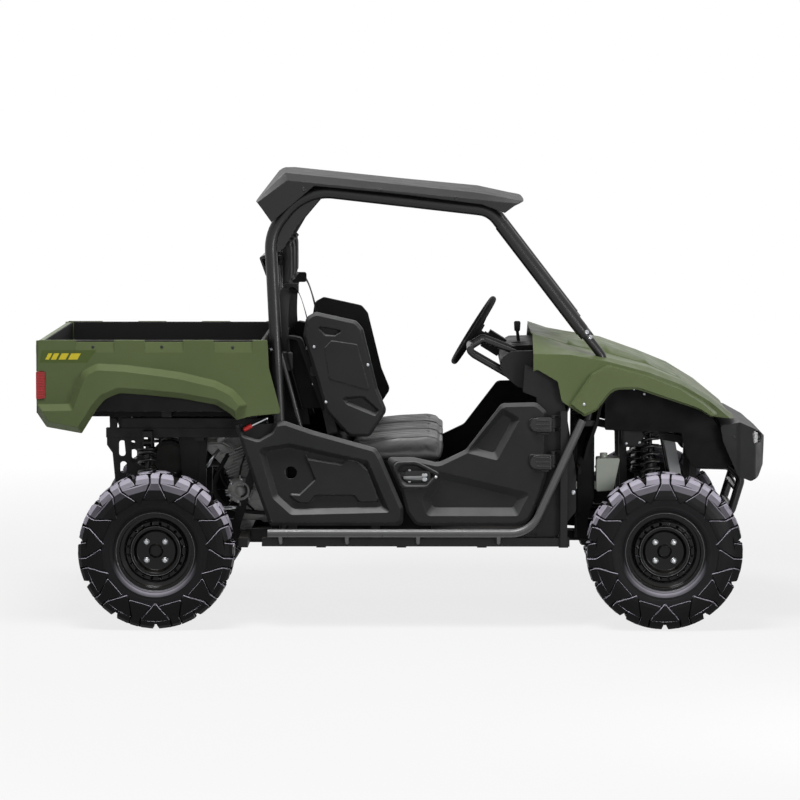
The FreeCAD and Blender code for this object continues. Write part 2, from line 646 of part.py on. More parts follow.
# ---------------------------------------------------------------- cab
def floor_pan():
    """Moulded footwell: floor, sloped toe board and the side walls in front of the doors."""
    y = CAB_HALF
    x0 = SEAT_FRONT_X + 3
    shape = [(x0, FLOOR_Z), (640, FLOOR_Z, 30), (728, 480, 30), (728, 640, 40), (680, 930), (662, 1040), (510, 1100),
             (502, 985), (x0, 960)]
    outer = slab(shape, "xz", -y + 12, y - 12)
    inner = slab([(x0 - 10, FLOOR_Z + FLOOR_T), (636, FLOOR_Z + FLOOR_T, 26), (721, 483, 26), (721, 638, 36), (673, 938),
                  (662, 970), (x0 - 10, 970)], "xz", -y + 18, y - 18)
    sides = slab([(-40, FLOOR_Z + FLOOR_T), (560, FLOOR_Z + FLOOR_T), (560, 962), (502, 985), (-40, 1120)], "xz", -y - 10, y + 10)
    made = outer.cut([inner, sides, box(x0, 760, -y + 18, y - 18, 965, 1120)])
    post_gap = [box(POST_X - 6, POST_X + 36, min(s * 628, s * 700), max(s * 628, s * 700), 330, 940) for s in (1, -1)]
    made = made.cut(post_gap)
    tunnel = slab([(60, FLOOR_Z), (60, 472, 20), (560, 472, 40), (726, 580), (726, FLOOR_Z)], "xz", -120, 120)
    made = fuse([made, tunnel.common(outer)])
    hollow = slab([(50, FLOOR_Z - 10), (50, 464), (556, 464, 34), (734, 578), (734, FLOOR_Z - 10)], "xz", -112, 112)
    slope = slab([(0, 360), (SEAT_FRONT_X + 0.6, 360), (SEAT_FRONT_X + 41, SEAT_DECK_Z), (0, SEAT_DECK_Z)], "xz", -700, 700)
    made = made.cut([hollow, slope])
    return max(made.Solids, key=lambda s: s.Volume)


SEAT_FRONT_X = 110.0
SEAT_BOX_HALF = 578.0
BACK_LEAN = 124.0 / 320.0


def back_line(z):
    """Where the seat back panel's front face lies at a given height."""
    return -268.6 - BACK_LEAN * (z - 800.0)


def seat_box():
    """Hollow engine cover under the seats, with the panel that rises behind them."""
    y = SEAT_BOX_HALF
    x0, z0, deck = SEAT_FRONT_X, FLOOR_Z, SEAT_DECK_Z
    outer = slab([(x0, z0), (x0 + 40, deck, 20), (back_line(deck), deck), (back_line(1160), 1160), (back_line(1160) - 12, 1160),
                  (back_line(deck) - 20, deck), (-560, deck), (-560, z0)], "xz", -y, y)
    inner = slab([(x0 - 7, z0 - 5), (x0 + 33, deck - 6, 16), (-554, deck - 6), (-554, z0 - 5)], "xz", -y + 6, y - 6)
    wing = slab([(-320, 905), (-434, 1210, 20), (-498, 1222, 20), (-496, 1140, 20), (-430, 905)], "xz", 492, y)
    wing_inside = slab([(-346, 900), (-452, 1200, 14), (-494, 1210, 14), (-490, 1140, 14), (-426, 900)], "xz", 498, y + 5)
    screen = slab([(-546, 836), (-546, 1128, 20), (-496, 1150, 20), (-440, 1150), (-400, 836)], "xz", 492, 497)
    wings = [w for w in both(fuse([wing.cut(wing_inside), screen]))]
    outer = fuse([outer, *wings])
    rear = box(-562, -550, -330, 330, z0 - 5, deck - 30)
    hole = Part.makeCylinder(24, 80, V(x0 - 30, 0, DIFF_Z), V(1, 0, 0))
    return outer.cut([inner, rear, hole])


SIDE_COVER = [(-712, 848, 8), (-560, 853), (-500, 864, 20), (-380, 823, 60), (-118, 750, 30),
              (-94, 712, 30), (-2, 498, 30), (-2, 424, 24), (-566, 424, 10), (-618, 571, 60), (-684, 770, 30)]
RELEASE_POCKET = [(-702, 880), (-688, 800, 30), (-612, 776, 30), (-548, 812, 40), (-516, 880)]
COVER_RECESS = [(-598, 742, 20), (-482, 762, 30), (-158, 690, 14), (-74, 492, 10), (-470, 482, 30), (-540, 545, 30)]
COVER_PANEL = [(-420, 735, 6), (-400, 706, 6), (-262, 684, 6), (-236, 708, 6), (-192, 696, 10), (-150, 660),
               (-100, 520, 10), (-190, 520, 6), (-210, 548, 6), (-372, 548, 6), (-396, 516, 6), (-440, 516, 20),
               (-500, 560, 10), (-440, 556, 6), (-376, 618, 8)]
FILLER_AT = (-476.0, 646.0)


def side_cover():
    """Rear side panel below the seats, with a deep tapered recess and a raised panel inside it."""
    base = slab(SIDE_COVER, "xz", CAB_HALF + 12, SIDE_Y - 14)
    crown = tapered(SIDE_COVER, "xz", SIDE_Y - 14, SIDE_Y, 14)
    made = fuse([base, crown])
    made = made.cut(tapered(inset(COVER_RECESS, -12), "xz", SIDE_Y + 0.5, SIDE_Y - 33, 22))
    made = made.cut(tapered(RELEASE_POCKET, "xz", SIDE_Y + 1, CAB_HALF + 16, 8))
    made = fuse([made, tapered(COVER_PANEL, "xz", SIDE_Y - 34, SIDE_Y - 18, 6)])
    x, z = FILLER_AT
    made = made.cut(drum_y(x, z, CAB_HALF, SIDE_Y, 26))
    return made


DOOR = [(-78, 712, 18), (40, 712, 30), (145, 688, 60), (262, 744, 40), (412, 940, 30), (560, 944, 40), (602, 905, 20),
        (602, 640, 60), (575, 545, 80), (530, 440, 60), (470, 424, 60), (50, 424, 40), (12, 480, 40), (-8, 560, 30)]
DOOR_POCKET = [(414, 916, 14), (480, 876, 12), (390, 710, 14), (268, 740, 14)]
DOOR_DISH = [(150, 648, 14), (520, 560, 12), (476, 474, 14), (104, 474, 20), (84, 540, 30)]
LATCH_POD = [(-64, 700, 26), (56, 704, 70), (166, 646, 16), (104, 576, 28), (-14, 576, 28)]


def door():
    """Half door: thick moulded panel with a pocket, a dished lower field, latch pod and hinge leaves."""
    base = slab(DOOR, "xz", CAB_HALF + 12, SIDE_Y - 16)
    crown = tapered(DOOR, "xz", SIDE_Y - 16, SIDE_Y - 2, 14)
    made = fuse([base, crown])
    made = made.cut(tapered(inset(DOOR_POCKET, -10), "xz", SIDE_Y + 1, SIDE_Y - 32, 28))
    made = made.cut(tapered(inset(DOOR_DISH, -12), "xz", SIDE_Y + 1, SIDE_Y - 26, 38))
    pod = tapered(LATCH_POD, "xz", SIDE_Y - 20, SIDE_Y + 8, 8)
    made = fuse([made, pod])
    made = made.cut(tapered(inset(LATCH_POD, 16), "xz", SIDE_Y + 9, SIDE_Y - 14, 10))
    lever = slab([(-20, 630, 6), (84, 632, 6), (88, 654, 8), (-20, 648, 6)], "xz", SIDE_Y - 15, SIDE_Y - 3)
    pieces = [made, lever]
    for z in DOOR_HINGE_Z:
        pieces.append(slab([(528, z - 20, 12), (DOOR_AXIS_X, z - 19), (DOOR_AXIS_X, z + 19), (528, z + 20, 12)], "xz",
                           SIDE_Y - 4, SIDE_Y + 8))
        pieces.append(rod((DOOR_AXIS_X, DOOR_AXIS_Y, z - 19), (DOOR_AXIS_X, DOOR_AXIS_Y, z + 19), 10))
    made = fuse(pieces)
    for z in DOOR_HINGE_Z:
        made = made.cut(rod((DOOR_AXIS_X, DOOR_AXIS_Y, z - 40), (DOOR_AXIS_X, DOOR_AXIS_Y, z + 40), 5 + RUN))
    return max(made.Solids, key=lambda s: s.Volume)


BOLSTER = [(-424, 1222, 30), (-412, 1300, 30), (-372, 1322, 20), (-200, 1284, 30), (-172, 1250, 20), (-111, 1000, 60),
           (-72, 905, 30), (-144, 796, 20), (-232, 796, 30), (-330, 905, 60), (-372, 1055, 60)]


def shoulder_bolster():
    """Moulded side bolster beside the seat back, with a hand slot, a raised field and a hip pocket."""
    base = slab(BOLSTER, "xz", 593 + CLEAR, 628)
    crown = tapered(BOLSTER, "xz", 628, 640, 12)
    made = fuse([base, crown])
    slot = [(-366, 1262, 8), (-262, 1244, 8), (-290, 1224, 10), (-330, 1226, 10)]
    made = made.cut(tapered(inset(slot, -4), "xz", 641, 622, 6))
    field = [(-336, 1172, 8), (-306, 1204, 8), (-196, 1188, 8), (-142, 990, 8), (-316, 1040, 8)]
    made = fuse([made, tapered(field, "xz", 639, 643, 3)])
    hip = [(-262, 962, 20), (-170, 968, 30), (-104, 908, 10), (-120, 884, 10), (-240, 934, 10)]
    made = made.cut(tapered(inset(hip, -4), "xz", 644, 618, 14))
    return made


SEAT_CUSHION = [(-222, SEAT_DECK_Z + CLEAR, 8), (168, SEAT_DECK_Z + CLEAR, 20), (174, 768, 26), (110, 812, 60), (-120, 798, 120),
                (-222, 786, 20)]
SEAT_BACK = [(-268, 800, 24), (-178, 800, 30), (-190, 900, 90), (-238, 1080, 120), (-282, 1262, 36), (-356, 1262, 40),
             (-392, 1120, 60)]


def seat_parts(profile, soft=14.0):
    made = []
    for i in (-1, 0, 1):
        y = i * SEAT_PITCH
        block = slab(profile, "xz", y - SEAT_W / 2, y + SEAT_W / 2)
        made.append(block)
    return made


HEAD_PAD_X = 516.0


def headrests():
    made = []
    for i in (-1, 0, 1):
        y = i * SEAT_PITCH
        pad = slab([(y - 125, 1424, 40), (y + 125, 1424, 40), (y + 115, 1634, 45), (y - 115, 1634, 45)], "yz", -HEAD_PAD_X, -HEAD_PAD_X + 40)
        made.append(pad)
    return made


CAGE_FOOT_R = 19.0
PILLAR_END_X = 768.0


def cage_foot(r):
    """Thinner tube that carries the windscreen pillar down through the fender to the front frame."""
    y = CAGE_Y
    return tube([(PILLAR_END_X - 12, y, 1238), (PILLAR_END_X + 74, y, 1128), (774, y, SHELF_Z - 20)], r, [50])


def cage_side():
    """Bent side tube of the roll cage: rear post, roof rail, windscreen pillar and its thinner foot."""
    y = CAGE_Y
    path = [(-498, y, RAIL_Z + 20), (-563, y, 1655), (-418, y, 1838), (364, y, 1749), (PILLAR_END_X, y, 1222)]
    main = tube(path, CAGE_R, [200, 220, 110])
    brace = rod((-519, y, 1150), (-424, 624, 790), 11)
    gusset = slab([(-548, 1560), (-505, 1592, 30), (-452, 1682, 60), (-352, 1800, 20), (-340, 1812), (-420, 1818), (-540, 1680)],
                  "xz", y - 4, y + 4)
    pad = rod((409, y, 1690), (752, y, 1243), CAGE_R + 3)
    made = fuse([main, cage_foot(CAGE_FOOT_R), brace, gusset, pad])
    low = [box(-600, -400, y - 60, y + 60, 300, RAIL_Z + 48 + CLEAR), box(700, 900, y - 60, y + 60, 800, SHELF_Z + CLEAR)]
    return made.cut(low)


def cage_crossbars():
    """Cross tubes between the sides: two under the roof, one that carries the headrests, and its channel."""
    reach = CAGE_Y - CAGE_R - CLEAR
    bars = [rod((-487, -reach, 1762), (-487, reach, 1762), 20), rod((338, -reach, 1746), (338, reach, 1746), 20)]
    mid = [rod((-552, -reach, 1530), (-552, reach, 1530), 20)]
    for i in (-1, 0, 1):
        y = i * SEAT_PITCH
        mid.append(box(-540, -HEAD_PAD_X - CLEAR, y - 20, y + 20, 1510, 1550))
    mid.append(slab([(-556, 1572), (-612, 1550, 8), (-584, 1472), (-574, 1476), (-600, 1540), (-556, 1556)], "xz", -560, 560))
    lower = [rod((-536, -reach, 1180), (-536, reach, 1180), 19)]
    lower.append(box(-580, -548, -560, 560, 1545, 1562))
    uprights = [rod((-552, s * 190, 1530), (-536, s * 190, 1180), 13) for s in (1, -1)]
    return [bars[0], bars[1], fuse(mid + lower + uprights)]


ROOF_LINE = [(-623, 1788), (-556, 1701), (-376, 1854), (-16, 1820), (328, 1776), (424, 1740), (503, 1788), (310, 1824),
             (-500, 1908)]
ROOF_STATIONS = [  # y, then what is added to (x, z) of: rear tip, front tip, front top, rear top
    (0.0, (-2, 8), (6, 4), (10, 10), (-34, 6)),
    (360.0, (-2, 6), (5, 3), (8, 8), (-34, 4)),
    (600.0, (0, 0), (0, 0), (0, 0), (0, 0)),
    (655.0, (8, -4), (-26, -8), (-8, -26), (12, -30)),
]


def roof_section(row, y, inner):
    line = list(ROOF_LINE)
    for k, add in zip((0, 6, 7, 8), row[1:]):
        line[k] = (line[k][0] + add[0], line[k][1] + add[1])
    if inner:
        tip, front, top, back = line[0], line[6], line[7], line[8]
        line = [(tip[0] + 14, tip[1]), (tip[0] + 14, 1600), (front[0] - 14, 1600), (front[0] - 14, front[1] - ROOF_T),
                (top[0], top[1] - ROOF_T), (back[0] + 5, back[1] - ROOF_T - 2)]
    points = [V(x, y, z) for x, z in line]
    return Part.makePolygon(points + points[:1])


def roof():
    """Moulded hard top: crowned skin, kicked up rear edge, side skirts and feet on the cage cross tubes."""
    rows = [(-1, r) for r in reversed(ROOF_STATIONS[1:])] + [(1, r) for r in ROOF_STATIONS]
    outer = loft([roof_section(r, s * r[0], False) for s, r in rows])
    thin = lambda y: y - ROOF_T if y > 610 else y * 0.99
    inner = loft([roof_section(r, s * thin(r[0]), True) for s, r in rows])
    shell = outer.cut(inner)
    feet = []
    for y, back, front in ((540, 1899, 1812), (180, 1905, 1824)):
        for at in (-y, y):
            feet.append(box(-503, -471, at - 22, at + 22, 1782 + CLEAR, back))
            feet.append(box(322, 354, at - 22, at + 22, 1766 + CLEAR, front))
    return fuse([shell] + feet)


DASH = [(545, 985, 20), (480, 1000, 40), (412, 1060, 30), (416, 1126, 16), (462, 1152, 16), (530, 1154), (590, 1156),
        (640, 1090), (640, 985)]


def dash_body():
    return slab(DASH, "xz", -545, 545)


def dashboard():
    """Dash body across the cab: sloped face, top shelf, glove box pocket and two drink pockets."""
    body = dash_body()
    glove = slab([(400, 1046, 12), (520, 1046, 12), (520, 1104, 12), (400, 1104, 12)], "xz", -520, -210)
    tray = slab([(455, 1130, 6), (560, 1130, 6), (560, 1180), (440, 1180)], "xz", -520, -160)
    pocket = slab([(400, 1040, 12), (500, 1040, 12), (500, 1096, 12), (400, 1096, 12)], "xz", 90, 240)
    drinks = [Part.makeCylinder(38, 60, V(500, s, 1104)) for s in (-80, 40)]
    made = body.cut([glove, tray, pocket, *drinks])
    return made


def steering_column():
    x, z = STEER_WHEEL_AT
    way = V(math.cos(COLUMN_RAKE), 0, -math.sin(COLUMN_RAKE))
    start = V(x, WHEEL_COLUMN_Y, z) + way * 46
    end = V(x, WHEEL_COLUMN_Y, z) + way * 150
    made = rod(tuple(start), tuple(end), 24)
    shroud = bar(tuple(V(x, WHEEL_COLUMN_Y, z) + way * 62), tuple(V(x, WHEEL_COLUMN_Y, z) + way * 148), 84, 84)
    made = max(fuse([made, shroud]).cut(dash_body()).Solids, key=lambda s: s.Volume)
    made.translate(V(-0.1, 0, 0))
    return made


def steering_wheel():
    x, z = STEER_WHEEL_AT
    centre = V(x, WHEEL_COLUMN_Y, z)
    way = V(math.cos(COLUMN_RAKE), 0, -math.sin(COLUMN_RAKE))
    up = V(math.sin(COLUMN_RAKE), 0, math.cos(COLUMN_RAKE))
    ring = Part.makeTorus(STEER_WHEEL_R, 14, centre, way)
    hub_low = centre + way * 18
    pieces = [ring, Part.makeCylinder(46, 26, centre + way * 4, way)]
    for a in (90, 210, 330):
        turn = math.radians(a)
        out = V(0, 1, 0) * math.cos(turn) + up * math.sin(turn)
        pieces.append(rod(tuple(hub_low + out * 20), tuple(centre + out * (STEER_WHEEL_R - 4)), 9))
    pieces.append(Part.makeCylinder(18, 46 - CLEAR - 15, centre + way * 15, way))
    return fuse(pieces)


def grab_handle():
    """Hand hold in front of the passengers: two bent arms out of the dash joined by a cross grip."""
    made = []
    for y in (-470, -230):
        made.append(tube([(480, y, 1140), (404, y, 1170), (336, y, 1196), (268, y, 1154), (296, y, 1128), (440, y, 1045)], 11, [20, 22, 14, 12]))
    made.append(rod((282, -520, 1158), (282, -180, 1158), 15))
    cut = fuse(made).cut(dash_body())
    return max(cut.Solids, key=lambda s: s.Volume)


def cab_controls():
    """Shift lever, parking brake handle, two pedals and the red handled bed release, each a solid."""
    shift = fuse([rod((500, 150, 1140), (492, 150, 1206), 7), slab([(480, 1196, 6), (505, 1196, 6), (508, 1240, 8), (478, 1240, 8)], "xz", 140, 160)])
    shift = max(shift.cut(dash_body()).Solids, key=lambda s: s.Volume)
    pedals = []
    for y, w in ((260, 45), (400, 32)):
        pedals.append(fuse([bar((610, y, 470), (640, y, 560), 2 * w, 8), bar((638, y, 550), (700, y, 700), 14, 14),
                            box(684, 708.2, y - 20, y + 20, 690, 716)]))
    return [shift, *pedals]


def bed_release():
    """Handled rod beside the bed's front corner, with its arm reaching in to the subframe."""
    y = CAB_HALF + 30
    return fuse([rod((-655, y, 838), (-576, y, 876), 4), rod((-668, y, 831), (-640, y, 847), 8),
                 Part.makeSphere(6, V(-576, y, 876)), rod((-576, y, 876), (-576, 354, 791), 4)])


# ---------------------------------------------------------------- nose
NOSE = [  # x, side y, bottom z, crease z, shelf y, shelf z, ridge y, ridge z, crown y, crown z
    (545.0, 672.0, 880.0, 1150.0, 560.0, 1188.0, 470.0, 1222.0, 300.0, 1218.0),
    (700.0, 680.0, 880.0, 1146.0, 600.0, 1158.0, 460.0, 1170.0, 300.0, 1190.0),
    (860.0, 690.0, 880.0, 1118.0, 620.0, 1130.0, 440.0, 1134.0, 300.0, 1164.0),
    (1030.0, 690.0, 880.0, 1072.0, 600.0, 1090.0, 420.0, 1088.0, 290.0, 1104.0),
    (1170.0, 672.0, 860.0, 1018.0, 580.0, 1034.0, 400.0, 1030.0, 270.0, 1032.0),
    (1290.0, 630.0, 840.0, 946.0, 540.0, 962.0, 380.0, 958.0, 250.0, 954.0),
    (1400.0, 530.0, 800.0, 852.0, 460.0, 874.0, 350.0, 874.0, 240.0, 868.0),
]
HOOD_HALF = [(545.0, 452.0), (860.0, 425.0), (1400.0, 345.0)]
NOSE_T = 7.0


def nose_section(row, t):
    x, side_y, low_z, crease_z, shelf_y, shelf_z, ridge_y, ridge_z, crown_y, crown_z = row
    half = [(side_y - t, low_z), (side_y - t, crease_z - t * 0.6), (shelf_y, shelf_z - t), (ridge_y - t * 0.3, ridge_z - t),
            (crown_y, crown_z - t)]
    right = [(-y, z) for y, z in reversed(half)]
    points = [V(x, y, z) for y, z in half + right]
    return Part.makePolygon(points + points[:1])


def nose_shell():
    outer = loft([nose_section(r, 0.0) for r in NOSE])
    rows = [(NOSE[0][0] - 5,) + NOSE[0][1:]] + NOSE[1:-1] + [(NOSE[-1][0] + 5,) + NOSE[-1][1:]]
    inner = loft([nose_section((r[0], r[1], r[2] - 20) + r[3:], NOSE_T) for r in rows])
    return outer.cut(inner)


def hood_zone(gap):
    pts = [(530, -(HOOD_HALF[0][1] - gap)), (860, -(HOOD_HALF[1][1] - gap)), (1420, -(HOOD_HALF[2][1] - gap)),
           (1420, HOOD_HALF[2][1] - gap), (860, HOOD_HALF[1][1] - gap), (530, HOOD_HALF[0][1] - gap)]
    return slab(pts, "xy", 700, 1400)


FENDER_SIDE = [(520, 1300), (520, 1060), (560, 1084, 20), (648, 1032, 20), (664, 950, 20), (692, 930), (760, 886, 10),
               (812, 912, 30), (880, 1000, 70), (980, 1002, 120), (1240, 914, 200), (1290, 884, 20), (1430, 858),
               (1430, 1300)]
FLARE_PATCH = [(694, 934, 4), (786, 1072, 30), (858, 1112, 30), (1030, 1066, 100), (1165, 1012, 60), (1262, 950, 60),
               (1330, 890, 20), (1290, 880, 20), (1240, 914, 200), (980, 1002, 120), (880, 1000, 70), (812, 912, 30),
               (760, 886, 10)]


def fenders():
    shell = nose_shell().cut(hood_zone(0.0))
    keep = slab(FENDER_SIDE, "xz", -800, 800)
    made = shell.common(keep)
    halves = []
    for s in sorted(made.Solids, key=lambda q: -q.Volume)[:2]:
        halves.append(s)
    left = [s for s in halves if s.CenterOfMass.y > 0][0]
    flare = tapered(FLARE_PATCH, "xz", 640, 722, 10)
    inside = loft([nose_section((r[0], r[1], r[2] - 60) + r[3:], NOSE_T) for r in NOSE])
    flare = flare.cut(inside)
    flare = flare.common(slab(FENDER_SIDE, "xz", 0, 800))
    left = fuse([left, flare])
    left = max(left.Solids, key=lambda q: q.Volume)
    return max(left.cut(cage_foot(CAGE_FOOT_R + CLEAR)).Solids, key=lambda q: q.Volume)


def hood():
    made = nose_shell().common(hood_zone(SEAM))
    made = made.common(box(545, 1400, -600, 600, 850, 1400))
    return max(made.Solids, key=lambda s: s.Volume)


BUMPER_SIDE = [(1352, 770, 10), (1340, 838, 10), (1424, 850, 20), (1500, 812, 30), (NOSE_X, 772, 20), (1542, 648, 20),
               (1516, 606, 20), (1478, 592, 20), (1416, 622, 20)]
BUMPER_PLAN = [(1320, -560), (1420, -540, 40), (1500, -440, 60), (NOSE_X, -250, 200), (NOSE_X, 250, 200), (1500, 440, 60),
               (1420, 540, 40), (1320, 560)]
BUMPER_SIDE_IN = [(1316, 757), (1316, 829), (1423, 841.5, 20), (1496, 804, 24), (NOSE_X - 8, 768, 14), (1534, 652, 14),
                  (1510, 613, 14), (1478, 600, 14), (1416, 630, 14)]
BUMPER_PLAN_IN = [(1310, -552), (1416, -532, 34), (1494, -434, 54), (NOSE_X - 8, -247, 192), (NOSE_X - 8, 247, 192),
                  (1494, 434, 54), (1416, 532, 34), (1310, 552)]


def bumper_solid():
    solid = slab(BUMPER_SIDE, "xz", -700, 700).common(slab(BUMPER_PLAN, "xy", 500, 1000))
    hollow = slab(BUMPER_SIDE_IN, "xz", -690, 690).common(slab(BUMPER_PLAN_IN, "xy", 480, 1010))
    return solid.cut(hollow)


def front_bumper():
    """Wrapped plastic bumper, open at the back, with grille slots and two lamp openings."""
    slots = [box(1450, 1600, -215, 215, z, z + 14) for z in (662, 690, 736, 764)]
    lamps = [slab([(s * 300, 748, 20), (s * 452, 752, 14), (s * 462, 806, 14), (s * 320, 800, 20)], "yz", 1400, 1600)
             for s in (1, -1)]
    guard_ways = [box(1380, 1486, s * 250 - 24, s * 250 + 24, 560, 676) for s in (1, -1)]
    made = bumper_solid().cut(slots + lamps + guard_ways)
    return max(made.Solids, key=lambda s: s.Volume)


def headlights():
    made = []
    core = slab(BUMPER_SIDE_IN, "xz", -690, 690).common(slab(BUMPER_PLAN_IN, "xy", 480, 1010))
    core.translate(V(-CLEAR, 0, 0))
    for s in (1, -1):
        body = slab([(s * 296, 742, 20), (s * 457, 746, 14), (s * 467, 812, 14), (s * 316, 806, 20)], "yz", 1410, 1560)
        made.append(body.common(core))
    return made


def brush_guard():
    """Tube guard under the bumper, welded into one piece and bolted to the front frame."""
    made = []
    for s in (1, -1):
        y = s * 250
        made.append(tube([(1261 + CLEAR, s * 210, 640), (1400, y, 640), (1452, y, 585), (1408, y, 440),
                          (1262 + CLEAR, s * 210, 345)], 19, [40, 40, 50]))
    for x, z, r in ((1437, 535, 16), (1412, 450, 16), (1380, 640, 14)):
        made.append(rod((x, -250, z), (x, 250, z), r))
    return fuse(made).cut(box(1200, 1262 + CLEAR, -300, 300, 300, 700))


def radiator():
    core = bar((1132, 0, 812), (1170, 0, 600), 364, 36)
    tanks = [bar((1128, s * 198.7, 834), (1176, s * 198.7, 574), 40, 46) for s in (1, -1)]
    return fuse([core, *tanks])


def coolant_tank():
    tank = slab([(818, 694, 8), (918, 694, 8), (890, 558, 10), (818, 552, 8)], "xz", -510, -400)
    neck = Part.makeCylinder(16, 20, V(850, -460, 693))
    bracket = box(728 + CLEAR, 830, -469.5, -440, 560, 590)
    return fuse([tank, neck, bracket])


LINER = [(735, 668), (748, 668), (772, 764, 40), (808, 866, 30), (822, 940, 40), (884, 1008, 60), (985, 1010, 100),
         (1240, 924, 60), (1300, 896), (1300, 640), (735, 640)]
LINER_PLAN = [(700, 460), (700, 670), (1040, 670), (1170, 650), (1290, 604), (1310, 590), (1310, 460)]
INNER_WALL = [(838, 970), (854, 935), (854, 812, 8), (1180, 800, 8), (1200, 700, 16), (1236, 652, 16), (1350, 646, 16),
              (1420, 668, 16), (1420, 820, 8), (1350, 812), (1290, 896), (1170, 972), (1030, 1020), (880, 1040)]
REAR_WALL = [(738, 841.5), (738, 350), (784, 350, 10), (784, 440, 20), (810, 520, 20), (810, 841.5)]


def wheel_liners():
    """Inner wings behind the front wheels and under the fenders, one thin moulding each side."""
    made = []
    for s in (1, -1):
        y0, y1 = sorted((s * 470, s * 668))
        outer = slab(LINER, "xz", y0, y1)
        inner = slab([(p[0] + (12 if p[0] < 900 else 0), p[1] - 10) + tuple(p[2:]) for p in LINER], "xz", y0 - 5, y1 + 5)
        cut = outer.cut([inner, box(747, 1400, y0 - 5, y1 + 5, 600, 700), box(1290, 1400, y0 - 5, y1 + 5, 600, 870)])
        cut = cut.common(slab([(x, s * y) for x, y in LINER_PLAN], "xy", 600, 1100))
        walls = [slab(w, "xz", *sorted((s * 470, s * 474))) for w in (INNER_WALL, REAR_WALL)]
        made.append(max(fuse([cut, *walls]).Solids, key=lambda q: q.Volume))
    return made


# ---------------------------------------------------------------- engine
GEAR_CASE = [(-700, 400, 16), (-600, 402, 16), (-592, 440, 10), (-604, 530, 20), (-652, 610, 20), (-704, 696, 20), (-790, 740, 20),
             (-862, 736, 12), (-856, 706, 12), (-790, 640, 20), (-730, 577, 20), (-706, 470, 20)]
GEAR_COVERS = [  # x, z, radius, how far it stands out
    (-652, 532, 54, 4), (-652, 532, 36, 16), (-652, 532, 16, 24), (-642, 452, 42, 6), (-642, 452, 20, 12), (-770, 662, 30, 0),
]


def engine():
    """Power unit under the seats: crankcase, inclined cylinder, drive cover and gear case."""
    case = slab([(-620, 386, 20), (-330, 386, 20), (-300, 470, 30), (-330, 560, 30), (-600, 590, 30), (-660, 520, 40)],
                "xz", -190, 190)
    cylinder = bar((-470, 0, 560), (-520, 0, 640), 190, 150)
    mounts = [box(-500, -440, y - 30, y + 30, RAIL_Z + CLEAR, 400) for y in (-110, 110)]
    gear = slab(GEAR_CASE, "xz", -214, -60)
    lid = slab(inset(GEAR_CASE, 9), "xz", -236, -212)
    flange = slab(inset(GEAR_CASE, -5), "xz", -196, -188)
    cover = [drum_y(x, z, -260 - out, -60, r) for x, z, r, out in GEAR_COVERS]
    ribs = [slab([(x, z), (x + 12, z + 4), (x + 12 + dx, z + 4 + dz), (x + dx, z + dz)], "xz", -244, -230)
            for x, z, dx, dz in ((-826, 716, 84, -96), (-790, 722, 92, -104), (-752, 706, 80, -112))]
    belt = slab([(-650, 400, 60), (-330, 410, 80), (-330, 560, 80), (-650, 590, 60)], "xz", 185, 262)
    output = Part.makeCylinder(24, 20, V(-320.3, 0, DIFF_Z), V(1, 0, 0))
    air_box = slab([(-868, 728, 10), (-868, 794, 16), (-672, 794, 10), (-664, 690)], "xz", -170, 60)
    return fuse([case, cylinder, gear, lid, flange, *cover, *ribs, belt, *mounts, output, air_box])


MUFFLER = (-1020.0, 664.0, 74.0)


def muffler():
    x, z, r = MUFFLER
    body = fuse([drum_y(x, z, -196, 196, r), drum_y(x, z, -204, 204, r - 10), drum_y(x, z, -150, -142, r + 3),
                 drum_y(x, z, 142, 150, r + 3)])
    pipe = tube([(x - 20, 150, z), (x - 110, 150, z), (x - 128, 150, z - 40)], 20, [24])
    lead = tube([(-800, -120, 640), (-920, -120, 640), (x, -60, z)], 19, [60])
    hanger = box(x - 10, x + 10, -10, 10, z + r - 4, 770 - CLEAR)
    made = fuse([body, pipe, lead, hanger]).cut(engine())
    return max(made.Solids, key=lambda q: q.Volume)


